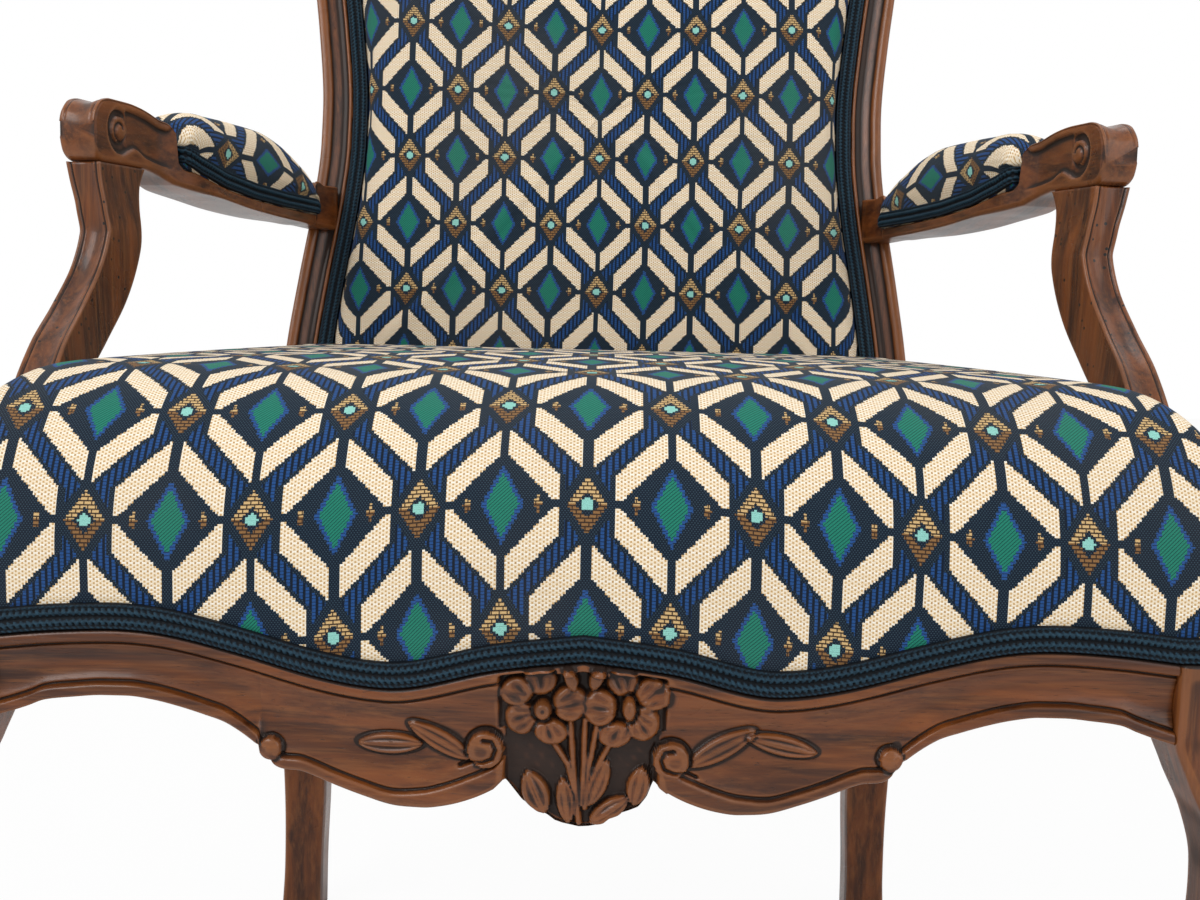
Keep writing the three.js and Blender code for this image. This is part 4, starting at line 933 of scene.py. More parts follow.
def arm_supports():
    heights = np.concatenate([[-SUPPORT_TENON / SUPPORT_RISE], np.linspace(0, 1, 130)])
    shares = np.clip(heights, 0, 1)
    forward, out, width, ahead, behind = (c(shares) for c in curves_of(SUPPORT_ROWS))
    up = lerp(RAIL_TOP, ARM_TOP - ARM_H - GAP, heights)
    centre = arm_point(-forward * SUPPORT_SWEEP, out * SUPPORT_SWEEP, up)
    tangent = unit(np.gradient(centre, axis=0))
    outward = np.array([*SIDE, 0])
    front = unit(np.cross(tangent, outward))
    front *= np.where(front @ np.array([*ALONG, 0]) > 0, -1, 1)[:, None]
    rings = []
    for i in range(len(heights)):
        half, fore, aft = SUPPORT_HALF * width[i], SUPPORT_DEPTH * ahead[i], SUPPORT_DEPTH * behind[i]
        u = np.linspace(-half, half, 44)
        face = [(a, fore - float(hand_moulding(a, half))) for a in u]
        flank = [(half, v) for v in np.linspace(fore - 1.6, 3 - aft, 26)]
        rear = [(half - 3 + 3 * math.cos(a), 3 - aft - 3 * math.sin(a)) for a in np.linspace(0.3, 1.4, 5)]
        rear += [(a, -aft) for a in np.linspace(half - 3, 3 - half, 16)]
        rear += [(3 - half - 3 * math.sin(a), 3 - aft - 3 * math.cos(a))
                 for a in np.linspace(0.17, 1.3, 5)]
        ring = np.array(face + flank + rear + [(-a, v) for a, v in flank[::-1]])
        rings.append(centre[i] + ring[:, :1] * outward + ring[:, 1:] * front[i])
    mirror_pair("walnut_arm_support", rings, walnut_worm, "arm_support")


ARM_ROWS = np.array([
    (-0.066, 0.38, 0.7, 0), (-0.063, 0.28, 0.8, 0), (-0.058, 0.2, 0.9, 0), (-0.05, 0.115, 0.96, 0),
    (-0.042, 0.06, 0.99, 0), (-0.028, 0.02, 1, 0), (-0.01, 0, 1, 0), (0.04, 0, 1, 0),
    (0.1, 0.04, 1, 0), (0.15, 0.14, 1.05, 0.05), (0.2, 0.32, 1.18, 0.35), (0.206, 0.8, 1.19, 0.4),
    (0.26, 0.95, 1.25, 0.75), (0.36, 1.12, 1.31, 1), (0.5, 1.24, 1.42, 1), (0.66, 1.3, 1.49, 0.9),
    (0.8, 1.32, 1.51, 0.5), (0.87, 1.32, 1.53, 0.25), (0.876, 0.7, 1.53, 0.1), (0.94, 0.66, 1.55, 0),
    (1, 0.64, 1.57, 0)])
KNUCKLE = (6.0, 619.5, 6.8)  # the volute's eye on the side of an arm: along, height, radius


def knuckle_depth(along, z, outline):
    """Carving on the side of an arm's knuckle: a volute round its eye, and a sunk panel behind it."""
    a0, z0, eye = KNUCKLE
    r = np.hypot(along - a0, z - z0)
    turn = np.degrees(np.arctan2(z - z0, along - a0)) % 360
    reach = 10.8 + 3.4 * np.clip((turn - 80) / 200, 0, 1)
    wrapped = smooth(20, 70, turn) * smooth(345, 300, turn)
    channel = 2.6 * smooth(eye, eye + 1.2, r) * smooth(reach + 0.9, reach - 0.4, r) * wrapped
    edge = near_path(along, z, outline)
    panel = smooth(a0 + 2, a0 + 9, along) * smooth(4.2, 5.4, edge) * smooth(62, 50, along)
    low = 606.5 + 3.5 * bell(along, 22, 7) - 0.16 * np.clip(along - 28, 0, None)
    panel = 2.1 * panel * smooth(low - 0.8, low + 0.8, z)
    depth = np.maximum(channel, panel)
    depth = np.where(r < eye, 0.5 * (r / eye) ** 4 - 0.6 * (1 - (r / eye) ** 2), depth)
    spiral = 1.8 + 6.2 * turn / 360
    depth = depth + 1.7 * bell(r, spiral, 1.0) * smooth(eye + 2.6, eye + 1.0, r)
    return depth + 0.7 * bell(edge, 0.4, 0.7)


def arms():
    top_of, foot_of, width_of = curves_of(ARM_ROWS)
    places = np.concatenate([
        np.linspace(-0.066, 0.199, 120), [0.2, 0.203, 0.206], np.linspace(0.21, 0.87, 60),
        [0.873, 0.876], np.linspace(0.885, 1.02, 20)])
    shares = np.minimum(places, 1)
    top, foot = ARM_TOP - ARM_H * top_of(shares), ARM_TOP - ARM_H * foot_of(shares)
    half = lerp(ARM_W, ARM_SEAT_W, width_of(shares)) / 2
    along = places * ARM_LENGTH
    first = [(along[0] + 1, foot[0] - 6), (along[0], foot[0])]
    outline = first + list(zip(along[:110:4], top[:110:4]))
    rings = []
    for i in range(len(places)):
        a, h = along[i], half[i]
        ease = min(3.0, (top[i] - foot[i]) / 3)
        moulded = float(smooth(0.205, 0.195, places[i]) + smooth(0.874, 0.885, places[i]))
        u = np.linspace(-h, h, 42)
        crown = [(c, top[i] - float(hand_moulding(c, h)) * moulded) for c in u]
        z = np.linspace(top[i] - 0.9, foot[i] + ease, 34)
        relief = knuckle_depth(np.full(34, a), z, outline) if a < 75 else np.zeros(34)
        flank = [(h - d, zz) for d, zz in zip(relief, z)]
        belly = [(h - ease + ease * math.cos(t), foot[i] + ease - ease * math.sin(t))
                 for t in (0.4, 0.8, 1.2, 1.5)]
        belly += [(c, foot[i]) for c in np.linspace(h - ease, ease - h, 12)]
        belly += [(-c, zz) for c, zz in belly[3::-1]]
        ring = np.array(crown + flank + belly + [(-c, zz) for c, zz in flank[::-1]])
        rings.append(arm_point(a, ring[:, 0], ring[:, 1]))
    mirror_pair("walnut_armrest", rings, walnut_y, "armrest")


arm_supports()
arms()


# the woven trellis
CELL_W, CELL_H = 76.0, 113.0


def trellis(name, offset, height=CELL_H):
    """A jacquard of half-drop lozenges in cream frames, with blue ribbons and small gold diamonds."""
    mat, g, shader = material(
        name, 0.86, Specular_IOR_Level=0.15, Sheen_Weight=0.06, Sheen_Roughness=0.5)
    u, v = g.weave()
    where = g.place()
    u = u + offset[0] + (g.noise(where, 7, 1) - 0.5) * 3.0
    v = v + offset[1] + (g.noise(where, 6, 1) - 0.5) * 3.0
    pick, end = 0.95, 1.25
    row = (v / pick).floor()
    U = ((u / end).floor() + 0.5) * (end / CELL_W)
    W = (row + 0.5) * (pick / height)
    # from here on, places and sizes are shares of a lozenge's width and height
    near_u, near_w = U - (U + 0.5).floor(), W - (W + 0.5).floor()
    A, B = near_u.abs(), near_w.abs()
    A2, B2 = 0.5 - A, 0.5 - B

    def hexagon(a, b):
        return (b + a * 0.725 - 0.366).max((a - 0.331) * 0.672)

    h1, h2 = hexagon(A, B), hexagon(A2, B2)
    own = h1 < h2
    a, b = g.blend(own, A2, A), g.blend(own, B2, B)
    outside = h1.min(h2)
    inner = a / 0.322 + b / 0.232
    tip = (b < 0.017) * (a > 0.298)
    cream = (outside < 0) * (inner > 1.0) * (a > 0.028) * (1 - tip)
    outline = (a / 0.128 + b / 0.166) < 1.0
    green = (a / 0.1 + b / 0.135) < 1.0
    fleck = ((a - 0.21).abs() / 0.024 + b / 0.042) < 1.0
    g1, g2 = A2 / 0.122 + B / 0.123, A / 0.122 + B2 / 0.123
    first = g1 < g2
    near = g1.min(g2)
    gold = near < 1.0
    ga, gb = g.blend(first, A, A2), g.blend(first, B2, B)
    hole = (ga / 0.07 + gb / 0.055) < 1.0
    eye = (ga / 0.036).power(2.0) + (gb / 0.025).power(2.0) < 1.0
    lifted = g.blend(first, near_w - 0.5 - near_w.floor(), near_w) > 0.0
    ribbon = (outside > 0.026) * (near > 1.5)

    # threads, in millimetres
    odd = (row / 2).fract() * 2
    brick = ((u + odd * 1.55) / 3.1).fract()
    dash = g.ramp(brick, 0.0, 0.1) * g.ramp(brick, 0.8, 0.7)
    yarn = g.noise(g.combine(u * 0.5, v * 1.6, 0.0), 1.0, 2)
    pick_form = ((v / pick).fract() - 0.5).abs() * 2
    cream_tone = g.mix(dash, (0.50, 0.30, 0.12), (0.93, 0.86, 0.73))
    golden = g.ramp(((row / 4).fract() - 0.5).abs(), 0.1, 0.3) * 0.45
    cream_tone = g.mix(golden * yarn * 1.6, cream_tone, (0.78, 0.55, 0.26))

    rib = (u / 2.95).fract()
    step = ((v + (u / 2.95).floor() * 0.8) / 1.6).fract()
    rib_form = g.ramp(rib, 0.0, 0.16) * g.ramp(rib, 0.72, 0.6)
    rib_form = rib_form * g.ramp(step, 0.0, 0.14) * g.ramp(step, 0.98, 0.84)
    blue_tone = g.mix(rib_form, (0.004, 0.010, 0.022), (0.017, 0.072, 0.230))
    twill = ((u * 0.8 - v * 0.85) / 1.5).fract()
    twill_form = g.ramp(twill, 0.06, 0.22) * g.ramp(twill, 0.98, 0.86)
    green_tone = g.mix(twill_form, (0.004, 0.035, 0.035), (0.015, 0.20, 0.135))
    dot_u = ((u + odd * 0.7) / 1.4).fract() - 0.5
    dot = g.ramp(dot_u.abs(), 0.3, 0.14) * g.ramp(pick_form, 0.75, 0.4)
    ground = g.mix(dot, (0.005, 0.011, 0.023), (0.030, 0.058, 0.082))
    gold_row = (v / 1.9).floor()
    gold_dash = ((u + gold_row * 1.9) / 3.6).fract()
    gold_line = (v / 1.9).fract()
    gold_form = g.ramp(gold_dash, 0.0, 0.1) * g.ramp(gold_dash, 0.95, 0.85) * g.ramp(gold_line, 0.05, 0.2)
    gold_form = gold_form * g.ramp(gold_line, 0.88, 0.68)
    gold_tone = g.mix(lifted, (0.25, 0.13, 0.05), (0.62, 0.42, 0.19))
    gold_tone = g.mix(gold_form, (0.035, 0.02, 0.015), gold_tone)

    color = g.mix(ribbon, ground, blue_tone)
    color = g.mix(cream, color, cream_tone)
    outline_tone = g.mix(g.ramp(step, 0.1, 0.3), (0.006, 0.012, 0.03), (0.02, 0.08, 0.26))
    color = g.mix(outline * own.max(1 - own), color, outline_tone)
    color = g.mix(green, color, green_tone)
    color = g.mix(fleck, color, gold_tone)
    color = g.mix(gold, color, gold_tone)
    color = g.mix(hole * gold, color, ground)
    color = g.mix(eye, color, (0.27, 0.60, 0.53))
    soil = g.ramp(g.noise(where, 5, 3), 0.45, 0.75) * 0.12
    color = g.mix(soil, color, (0.16, 0.13, 0.10))
    g.feed(shader.inputs["Base Color"], color)
    raised = cream * (0.5 + dash * 0.5) + ribbon * rib_form * 0.9 + green * 0.5
    raised = raised + gold * gold_form * 0.9 + dot * 0.25
    height = raised + (1 - pick_form) * 0.25 + yarn * 0.3
    g.feed(shader.inputs["Normal"], g.bump(height, 0.0005, 0.5))
    return mat


def braid_material(name):
    """Gimp: matt dark blue yarn, with a painted highlight on the tops of its strands and painted shade in
    the gaps between them.
    """
    mat, g, shader = material(name, 0.62, Specular_IOR_Level=0.2)
    where = g.place()
    cavity = g.attribute("cavity")
    strand = g.noise(where, 900, 2, 0.6)
    color = g.mix(g.ramp(strand, 0.35, 0.7), (0.005, 0.017, 0.030), (0.014, 0.046, 0.074))
    # painted highlight on the raised tops of the strands
    color = g.mix(g.ramp(-cavity, 0.1, 0.5) * 0.6, color, (0.026, 0.072, 0.110))
    # painted shade, near black, in the gaps between the strands
    color = g.mix(g.ramp(cavity, -0.05, 0.3), color, (0.001, 0.003, 0.006))
    g.feed(shader.inputs["Base Color"], color)
    g.feed(shader.inputs["Normal"], g.bump(strand, 0.0003, 0.5))
    return mat


def jute_material(name, pitch):
    """Plain woven jute with its threads along the weave's two directions."""
    mat, g, shader = material(name, 0.95)
    u, v = g.weave()
    cu, cv = ((u / pitch).fract() - 0.5).abs(), ((v / pitch).fract() - 0.5).abs()
    checker = (((u / pitch).floor() + (v / pitch).floor()) / 2).fract() * 2
    thread = g.blend(checker, 0.5 - cu, 0.5 - cv)
    fibre = g.noise(g.combine(u * 0.6, v * 0.6, 0.0), 1.0, 3)
    color = g.mix(g.ramp(fibre, 0.3, 0.75), (0.20, 0.13, 0.065), (0.42, 0.30, 0.17))
    color = g.mix(g.ramp(thread, 0.22, 0.04), color, (0.05, 0.032, 0.018))
    g.feed(shader.inputs["Base Color"], color)
    g.feed(shader.inputs["Normal"], g.bump(thread + fibre * 0.2, 0.0006, 0.7))
    return mat


seat_weave = trellis("trellis_seat", (0, 29))
back_weave = trellis("trellis_back", (39, 10), 108.0)
arm_weave = trellis("trellis_arm", (0, 0))
outer_weave = trellis("trellis_outer", (0, 0))
gimp_braid = braid_material("gimp_braid")
hessian_weave = jute_material("hessian_weave", 2.4)
webbing_weave = jute_material("webbing_weave", 3.0)


# soft pieces
def corner_steps(points, step):
    """Resamples an open path at about a step. The first two columns say where its points lie."""
    length = length_along(points[:, :2])
    s = np.linspace(0, length[-1], max(2, int(round(length[-1] / step)) + 1))
    return at_lengths(s, length, points)


def seat_outline(inset):
    """The seat's outline as (x, y, height of the cover's hem), from its middle front to the left."""
    x = np.linspace(0, RAIL_HALF, 56)
    front = columns_of(x, front_face(x) + inset, RAIL_TOP - RAIL_DROP * rail_line(x / RAIL_HALF))
    x = np.linspace(RAIL_HALF, FACE_HALF - CORNER, 7)[1:-1]
    head = columns_of(x, inset - FACE_REACH, CORNER_LINE)
    angle = np.linspace(-math.pi / 2, 0, 9)
    radius = max(CORNER - inset, GAP)
    corner = columns_of(FACE_HALF - CORNER + radius * np.cos(angle),
                        CORNER - FACE_REACH + radius * np.sin(angle), CORNER_LINE)
    x, y = side_point(np.linspace(0, 1, 86), float(inset)).T
    side = columns_of(x, y, CORNER_LINE)[1:]
    rear = REAR_COVER - inset + REBATE
    t = np.linspace(0, 1, 7)[1:]
    drop = columns_of(x[-1], lerp(y[-1], rear, t), lerp(CORNER_LINE, RAIL_TOP - HEM, t))
    t = np.linspace(0, 1, 46)[1:]
    half = np.vstack([front, head, corner, side, drop, columns_of(x[-1] * (1 - t), rear, RAIL_TOP - HEM)])
    other = half[1:-1][::-1] * (-1, 1, 1)
    return np.vstack([half, other])


SEAT_MIDDLE = (REAR_COVER - FRONT_REACH - FRONT_BOW) / 2
EDGE_RISE = GIMP_W


def dome_ring(inset, draw_x, draw_y, height):
    """The seat's outline drawn in towards its middle, which keeps clear of the back."""
    outline = seat_outline(inset)
    room = lerp(3, 20, smooth(LOWER_FOOT, 450, height)) + inset
    x = outline[:, 0] * (1 - draw_x)
    y = np.minimum(lerp(outline[:, 1], SEAT_MIDDLE, draw_y), back_face(x, height) - room)
    return columns_of(x, y, height)


def normals_of(outline):
    """The level direction outwards at each point of a closed outline, not yet of unit length."""
    edge = np.roll(outline, -1, 0)[:, :2] - np.roll(outline, 1, 0)[:, :2]
    return np.column_stack([edge[:, 1], -edge[:, 0]])


def flattened(rings, outline):
    """Where each point of the rings lies on the cloth when it is spread flat, in millimetres."""
    normal = unit(normals_of(outline) ** 3)
    flat = np.zeros(rings.shape[:2] + (2,))
    flat[-1] = rings[-1][:, :2]
    for i in range(len(rings) - 2, -1, -1):
        step = rings[i] - rings[i + 1]
        level = np.linalg.norm(step[:, :2], axis=1)
        extra = np.linalg.norm(step, axis=1) - level
        flat[i] = flat[i + 1] + step[:, :2] + normal * extra[:, None]
    return flat


SWELLING = []
LAST_FRAME = 20
CLOTH = {"vertex_group_mass": "held", "use_pressure": True, "uniform_pressure_force": 3.0, "quality": 4,
         "tension_stiffness": 20, "compression_stiffness": 20, "shear_stiffness": 8,
         "bending_stiffness": 0.8}


def swell(obj, pinned, cap):
    """Has a padded piece swell in the cloth simulation, by up to cap millimetres."""
    group = obj.vertex_groups.new(name="held")
    group.add([int(i) for i in pinned], 1.0, "REPLACE")
    SWELLING.append((obj, cap))


def run_swelling():
    """Runs the cloth simulation, and moves each point at most by its piece's cap."""
    for obj, _ in SWELLING:
        cloth = obj.modifiers.new("cloth", "CLOTH")
        for key, value in CLOTH.items():
            setattr(cloth.settings, key, value)
        cloth.settings.effector_weights.gravity = 0
        cloth.point_cache.frame_start, cloth.point_cache.frame_end = 1, LAST_FRAME
    for frame_number in range(1, LAST_FRAME + 1):
        bpy.context.scene.frame_set(frame_number)
    graph = bpy.context.evaluated_depsgraph_get()
    for obj, cap in SWELLING:
        count = len(obj.data.vertices)
        start, end = np.zeros(count * 3), np.zeros(count * 3)
        obj.data.vertices.foreach_get("co", start)
        obj.evaluated_get(graph).data.vertices.foreach_get("co", end)
        move = (end - start).reshape(-1, 3)
        length = np.linalg.norm(move, axis=1)
        move *= np.minimum(1, cap / 1000 / np.maximum(length, 1e-9))[:, None]
        obj.modifiers.remove(obj.modifiers["cloth"])
        obj.data.vertices.foreach_set("co", start + move.ravel())
        obj.data.update()
    bpy.context.scene.frame_set(1)


def cushion(name, rings, uv, material, nodes, cap, held_rings):
    """A closed cushion through rings from its hem to its middle, which swells by up to cap."""
    rows, columns = rings.shape[:2]
    piece = make(name, rings, solid_faces(rows, columns), material, nodes, uv)
    swell(piece, range(columns * held_rings), cap)
    return piece


def seat_cushion():
    outer = REBATE - GAP - COVER
    hem = seat_outline(outer)
    hem[:, 2] += SEAM * 2
    tucked = seat_outline(REBATE - 0.2)[:, :2].T
    rings = [columns_of(*tucked, RAIL_TOP + 1.0), columns_of(*tucked, hem[:, 2]), hem]
    for t in np.linspace(0, 1, 8)[1:]:
        rings.append(columns_of(hem[:, 0], hem[:, 1], lerp(hem[:, 2], RAIL_TOP + EDGE_RISE - 1, t)))
    for angle in np.linspace(0, math.pi / 2, 26):
        drawn, height = 1 - math.cos(angle), lerp(RAIL_TOP + EDGE_RISE, CROWN, math.sin(angle))
        rings.append(dome_ring(outer, SIDE_DOME * drawn, FRONT_DOME * drawn, height))
    for share in np.linspace(0.965, 0.02, 34):
        height = CROWN + CROWN_RISE * (1 - share * share)
        rings.append(dome_ring(outer, 1 - (1 - SIDE_DOME) * share, 1 - (1 - FRONT_DOME) * share, height))
    rings = np.array(rings)
    uv = flattened(rings, hem)
    nodes = ["seat_cover", "seat_stuffing"]
    return cushion("fabric_seat_cushion", rings, uv, seat_weave, nodes, cap=4.5, held_rings=8)


def back_outline(inset):
    """The back's outline as (x, z) rows, from its right foot upwards and round."""
    foot = LOWER_FOOT + inset
    z = np.linspace(foot, STILE_TOP, 90)
    right = np.column_stack([outer_edge(z) - inset, z])
    point, inward, _ = crest_line(130)
    crest = (point + inward * inset)[1:-1]
    left = right[::-1] * (-1, 1)
    x = np.linspace(-right[0, 0], right[0, 0], 80)[1:-1]
    return np.vstack([right, crest, left, columns_of(x, foot)])


BACK_MIDDLE = (LOWER_FOOT + BACK_TOP) / 2
HESSIAN_T = 1.4
HESSIAN_FACE = FRAME_REBATE - SEAM - HESSIAN_T
MARGIN_FACE = HESSIAN_FACE - GAP - COVER
MARGIN_EDGE = INNER_BEAD + SEAM
DOME_EDGE = MARGIN_EDGE + GIMP_W + SEAM
back_rise = knots([
    (0, 0.06), (0.012, 0.3), (0.05, 0.56), (0.14, 0.78), (0.36, 0.93), (0.75, 1), (1, 1.01)])


def back_ring(outline, draw, depth):
    x, z = outline[:, 0] * (1 - draw), lerp(outline[:, 1], BACK_MIDDLE, draw)
    return on_back(x, z, depth)


def back_cushion():
    outline, margin = back_outline(DOME_EDGE), back_outline(MARGIN_EDGE)
    rings = [back_ring(margin, 0, HESSIAN_FACE - GAP), back_ring(margin, 0, MARGIN_FACE)]
    for t in (0.35, 0.7, 1):
        rings.append(back_ring(lerp(margin, outline, t), 0, MARGIN_FACE))
    draws = [np.linspace(0, 0.05, 8), np.linspace(0.05, 0.36, 16)[1:], np.linspace(0.36, 0.985, 24)[1:]]
    for draw in np.concatenate(draws):
        rings.append(back_ring(outline, draw, MARGIN_FACE - BACK_PAD * float(back_rise(draw))))
    rings = np.array(rings)
    flat = np.zeros(rings.shape[:2] + (2,))
    flat[-1] = rings[-1][:, (0, 2)]
    for i in range(len(rings) - 2, -1, -1):
        step = rings[i] - rings[i + 1]
        level = step[:, (0, 2)]
        size = np.linalg.norm(level, axis=1)[:, None]
        away = np.where(size > 1e-6, level / np.maximum(size, 1e-6), 0)
        flat[i] = flat[i + 1] + away * np.linalg.norm(step, axis=1)[:, None]
    nodes = ["back_cover", "back_stuffing"]
    return cushion("fabric_back_cushion", rings, flat, back_weave, nodes, cap=3.5, held_rings=6)


PAD_SEAT = [(p, t) for p, t in zip(ARM_ROWS[:, 0], ARM_ROWS[:, 1]) if 0.205 < p < 0.875]
PAD_START = PAD_SEAT[0][0] * ARM_LENGTH + GIMP_T + SEAM
PAD_END = PAD_SEAT[-1][0] * ARM_LENGTH - GIMP_T - SEAM
pad_size = knots([
    (0, 0.5), (0.03, 0.76), (0.09, 0.94), (0.2, 1), (0.35, 1), (0.5, 1), (0.65, 1), (0.8, 0.94),
    (0.92, 0.78), (0.98, 0.56), (1, 0.4)])
pad_crown = knots([(0, 0.74), (0.12, 0.85), (0.55, 1.03), (0.85, 0.82), (1, 0.62)])
PAD_WAIST = 0.86


def pad_seat(along):
    """The height of the arm's seat for its pad, with a gap."""
    places, tops = zip(*PAD_SEAT)
    return ARM_TOP - ARM_H * np.interp(np.asarray(along) / ARM_LENGTH, places, tops) + GAP * 2


PAD_HALF_PROFILE = [
    (-PAD_WAIST, 0, 0), (-PAD_WAIST, 0.5, 0), (-PAD_WAIST, 1, 0), (-0.98, 1, 0.18), (-1, 1, 0.35),
    (-0.95, 1, 0.58), (-0.86, 1, 0.75), (-0.7, 1, 0.87), (-0.5, 1, 0.95), (-0.25, 1, 0.99), (0, 1, 1)]


def arm_pads():
    profile = np.array(PAD_HALF_PROFILE + [(-a, b, c) for a, b, c in PAD_HALF_PROFILE[-2::-1]])
    span = np.column_stack([profile[:, 0] * 23, profile[:, 1] * 12 + profile[:, 2] * 36])
    sideways, low, high = corner_steps(np.hstack([span, profile]), 1.9)[:, 2:].T
    rings, uv = [], []
    places = [np.linspace(0, 0.1, 12), np.linspace(0.1, 0.9, 70)[1:], np.linspace(0.9, 1, 12)[1:]]
    for place in np.concatenate(places):
        size = float(pad_size(place))
        along = PAD_START + place * (PAD_END - PAD_START)
        half = PAD_W / 2 * min(1, 0.7 + 0.3 * size)
        height = PAD_H * float(pad_crown(place)) * size
        edge = min(GIMP_W, height * 0.6)
        across = half * sideways
        up = edge * low + (height - edge) * high
        rings.append(arm_point(along, across, float(pad_seat(along)) + up))
        girth = length_along(np.column_stack([across, up]))
        uv.append(columns_of(girth - girth[-1] / 2, along))
    pieces = mirror_pair("fabric_arm_pad", rings, arm_weave, "arm_pad", uv=np.array(uv))
    foot = np.where((high <= 0) | (low < 1))[0]
    held = (np.arange(len(rings))[:, None] * len(low) + foot).ravel()
    for piece in pieces:
        swell(piece, held, 2.5)
    return pieces


seat_piece, back_piece, arm_pieces = seat_cushion(), back_cushion(), arm_pads()
run_swelling()


# gimp: two plaits side by side between twisted cords
def resample(path, extra, step, closed):
    """A path and what goes with its points, at even distances along it."""
    if closed:
        path, extra = np.vstack([path, path[:1]]), [np.vstack([e, e[:1]]) for e in extra]
    length = length_along(path)
    count = max(8, int(round(length[-1] / step)))
    s = np.linspace(0, length[-1], count, endpoint=not closed)
    return [at_lengths(s, length, e) for e in (path, *extra)], s, length[-1]


def plait_height(s, c, turn):
    """Height over the strip at a distance s along it and c across it, both in millimetres."""
    best = np.zeros(np.broadcast(s, c).shape)
    for middle, hand in ((0.305 * GIMP_W, 1), (0.695 * GIMP_W, -1)):
        for k in range(3):
            phase = 2 * math.pi * (s / turn + k / 3)
            d = (c - middle - 1.5 * hand * np.sin(phase)) / 1.2
            strand = 1.6 * rounded(d) + 0.85 * np.cos(2 * phase)
            best = np.maximum(best, np.where(np.abs(d) < 1, strand, 0))
    for middle, hand in ((0.95, 1), (GIMP_W - 0.95, -1)):
        d = (c - middle) / 1.1
        twist = 0.28 * np.sin(2 * math.pi * (hand * s / 2.7 + c / 2.4))
        cord = 1.5 * rounded(d) + twist
        best = np.maximum(best, np.where(np.abs(d) < 1, cord, 0))
    return best


STRIP_T, PLAIT_TURN = 1.3, 9


def gimp(name, path, outward, upward, node, closed=False, step=1.0):
    """A strip of gimp: outward is its unit normal, and upward spans its width."""
    (path, outward, upward), s, length = resample(path, [outward, upward], step, closed)
    turns = max(1, round(length / PLAIT_TURN))
    c = np.linspace(0, GIMP_W, 25)
    height = STRIP_T + plait_height(s[:, None], c[None], length / turns)
    height[:, (0, -1)] *= 0.6
    path, outward, upward = path[:, None], outward[:, None], upward[:, None]
    top = path + outward * height[..., None] + upward * (c / GIMP_W)[None, :, None]
    foot = path + upward * np.array([1.0, 0.0])[None, :, None]
    rings = np.concatenate([top, foot], 1)
    piece = loft(name, rings, gimp_braid, [node], closed=closed)
    # cavity of the gimp: high in the gaps between strands and below zero on their tops, for the braid's
    # painted shade and painted highlight
    values = np.zeros(rings.shape[:2])
    values[:, :len(c)] = np.clip((1.6 - (height - STRIP_T)) / 1.6, -0.3, 1)
    piece.data.attributes["cavity"].data.foreach_set("value", values.ravel())


GIMP_INSET = REBATE - GAP - COVER - GAP
GIMP_DROP = 0.9


def seat_gimps():
    outline = seat_outline(GIMP_INSET)
    normal = columns_of(*unit(normals_of(outline)).T, 0.0)
    outline[:, 2] += SEAM * 2 - GIMP_DROP
    across = np.tile([0.0, 0.0, GIMP_W], (len(outline), 1))
    front_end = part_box("seat_gimp_front")[1][1] * 1000 - SHIFT
    low, high = (corner[1] * 1000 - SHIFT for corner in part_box("seat_gimp_right"))
    order = np.roll(np.arange(len(outline)), len(outline) // 2)
    front = order[outline[order, 1] < front_end]
    gimp("gimp_seat_front", outline[front], normal[front], across[front], "seat_gimp_front")
    for side, sign in (("right", 1), ("left", -1)):
        keep = np.where((outline[:, 1] > low) & (outline[:, 1] < high) & (outline[:, 0] * sign > 0)
                        & (np.abs(normal[:, 0]) > 0.7) & (outline[:, 2] > CORNER_LINE))[0]
        gimp(f"gimp_seat_{side}", outline[keep], normal[keep], across[keep], f"seat_gimp_{side}")


def back_gimps():
    for name, node, inset, depth, way, step in (
            ("gimp_back", "back_gimp", MARGIN_EDGE, MARGIN_FACE - GAP, -1, 1.0),
            ("gimp_back_outer", "back_outer_gimp", FILLET, FRAME_D + SEAM + GAP * 2 + COVER / 2, 1, 1.5)):
        outline, inner = back_outline(inset), back_outline(inset + GIMP_W)
        path = on_back(outline[:, 0], outline[:, 1], depth)
        across = on_back(inner[:, 0], inner[:, 1], depth) - path
        outward = np.tile([0.0, float(way), 0.0], (len(path), 1))
        gimp(name, path, outward, across, node, closed=True, step=step)


def arm_gimps():
    places = np.concatenate([
        np.linspace(0, 0.12, 14), np.linspace(0.12, 0.88, 60)[1:], np.linspace(0.88, 1, 14)[1:]])
    size = pad_size(places)
    along = places * (PAD_END - PAD_START)
    half = PAD_W / 2 * np.minimum(1, 0.7 + 0.3 * size) * PAD_WAIST
    rise = np.minimum(GIMP_W, PAD_H * pad_crown(places) * size * 0.6) - SEAM
    flank = np.column_stack([along, half, rise])
    ends = np.linspace(1, -1, 14)[1:-1]
    outline = np.vstack([flank, flank[-1] * columns_of(1, ends, 1),
                         flank[::-1] * (1, -1, 1), flank[0] * columns_of(1, -ends, 1)])
    normal = -unit(normals_of(outline))
    along = PAD_START + outline[:, 0]
    foot = np.maximum(pad_seat(along), pad_seat(along + normal[:, 0] * GIMP_T))
    path = arm_point(along, outline[:, 1], foot)
    outward = normal[:, :1] * [*ALONG, 0] + normal[:, 1:] * [*SIDE, 0]
    across = columns_of(0, 0, outline[:, 2])
    for side, flip in (("right", (1, 1, 1)), ("left", (-1, 1, 1))):
        gimp(f"gimp_arm_{side}", path * flip, outward * flip, across, f"arm_gimp_{side}", closed=True)


seat_gimps()
back_gimps()
arm_gimps()


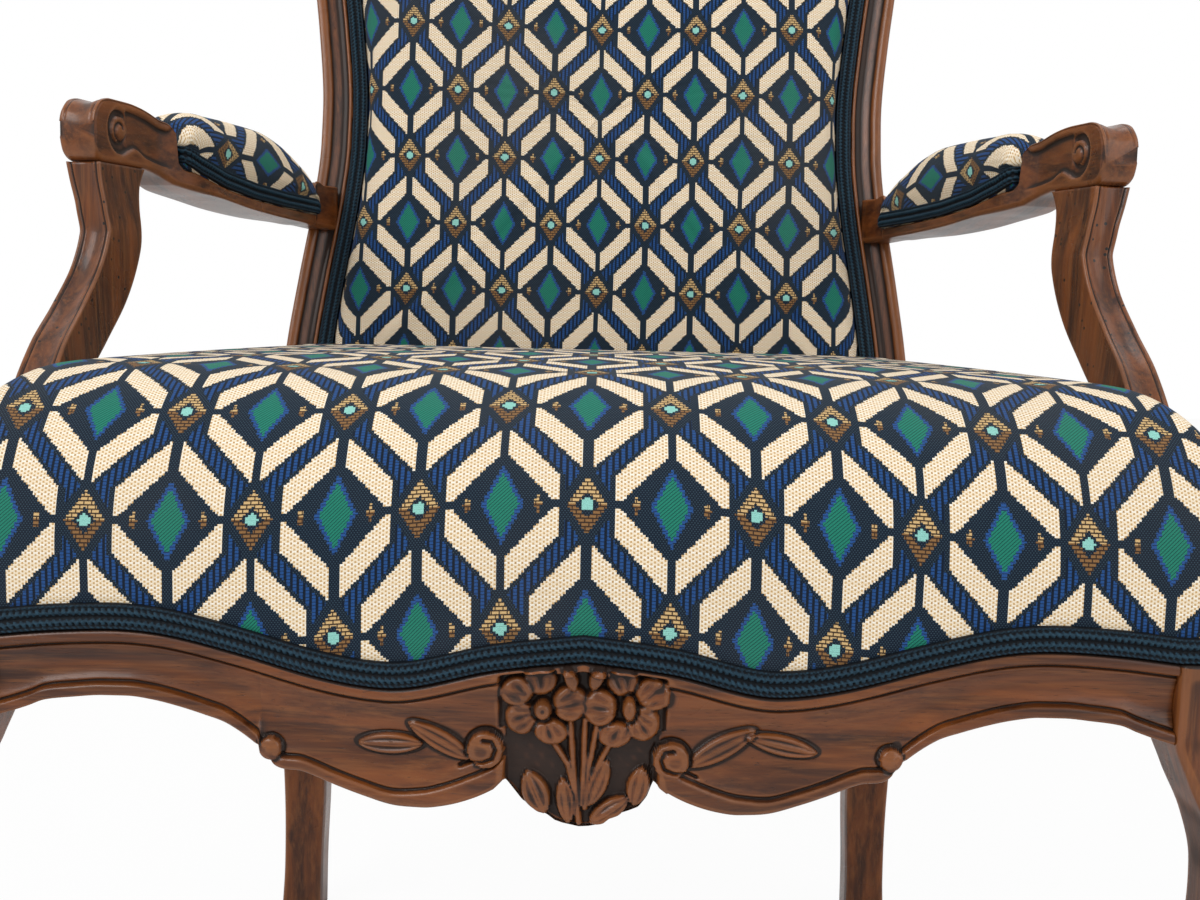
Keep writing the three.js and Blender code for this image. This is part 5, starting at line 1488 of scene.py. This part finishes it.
def stretched(name, rings, thickness, material, node):
    """A closed thin body from rings that run inwards, whose weave follows its own flat size."""
    face = np.array(rings)
    rows, columns = face.shape[:2]
    quads = grid_faces(rows, columns)
    rear = face + thickness
    points = np.concatenate([face.reshape(-1, 3), rear.reshape(-1, 3)])
    count = rows * columns
    faces = quads + [[i + count for i in q[::-1]] for q in quads]
    faces += [[(k + 1) % columns, k, count + k, count + (k + 1) % columns] for k in range(columns)]
    last = count - columns
    faces += [list(range(last, count)), list(range(last + count, 2 * count))[::-1]]
    level = (0, 1) if abs(np.ptp(face[..., 2])) < 5 else (0, 2)
    if level == (0, 1):
        faces = [f[::-1] for f in faces]
    uv = points[:, level]
    piece = make(name, points, faces, material, [node], uv)


def back_sheet(name, inset, depth, thickness, material, node):
    edge, inner = back_outline(inset), back_outline(FRAME_W)
    rings = [back_ring(edge, 0, depth), back_ring(inner, 0, depth)]
    rings += [back_ring(inner, draw, depth) for draw in np.linspace(0, 0.98, 40)[1:]]
    stretched(name, rings, (0, thickness, 0), material, node)


back_sheet("fabric_back_outer", FILLET, FRAME_D + SEAM, COVER / 2, outer_weave, "back_outer_cover")
back_sheet("hessian_back", MARGIN_EDGE, HESSIAN_FACE, HESSIAN_T, hessian_weave, "back_hessian")

WEB_T, WEB_W = 1.2, 62
WEB_TOP = RAIL_TOP + GAP + WEB_T * 2 + GAP


def seat_hessian():
    rings = [dome_ring(REBATE * 2, draw, draw, WEB_TOP + GAP) for draw in np.linspace(0, 0.98, 30)]
    stretched("hessian_seat", rings, (0, 0, HESSIAN_T), hessian_weave, "seat_hessian")


seat_hessian()


def webbing(node):
    """A strip of webbing where the frame has it, which lies over and under those that it crosses."""
    low, high = (np.array(c) * 1000 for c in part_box(node))
    across_seat = high[0] - low[0] > high[1] - low[1]
    run = 0 if across_seat else 1
    start, end = low[run], high[run]
    middle = (low[1 - run] + high[1 - run]) / 2
    crossing = "seat_web_long" if across_seat else "seat_web_cross"
    others = [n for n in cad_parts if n.startswith(crossing)]
    centres = sorted((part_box(n)[0][run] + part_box(n)[1][run]) * 500 for n in others)
    number = int(node[-1]) - 1
    s = np.linspace(start, end, 220)
    lift = np.zeros(len(s))
    for i, c in enumerate(centres):
        if (i % 2 == 0) == (number % 2 == across_seat):
            near = smooth(WEB_W / 2 + 13, WEB_W / 2 + 3, np.abs(s - c))
            lift = np.maximum(lift, (WEB_T + GAP) * near)
    t = np.linspace(-WEB_W / 2, WEB_W / 2, 12)
    z = np.full((len(s), len(t)), RAIL_TOP + GAP) + lift[:, None]
    place_of = [np.broadcast_to(s[:, None], z.shape), np.broadcast_to(middle + t[None], z.shape)]
    x, y = place_of if run == 0 else place_of[::-1]
    top = np.stack([x, y - SHIFT, z + WEB_T], -1)
    under = np.stack([x, y - SHIFT, z], -1)[:, ::-1]
    rings = np.concatenate([top, under], 1)
    uv = np.stack(np.broadcast_arrays(np.concatenate([t, t[::-1]]), s[:, None]), -1)
    piece = loft("webbing_" + node[9:], rings, webbing_weave, [node], uv=uv)


for node in [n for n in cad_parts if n.startswith("seat_web")]:
    webbing(node)
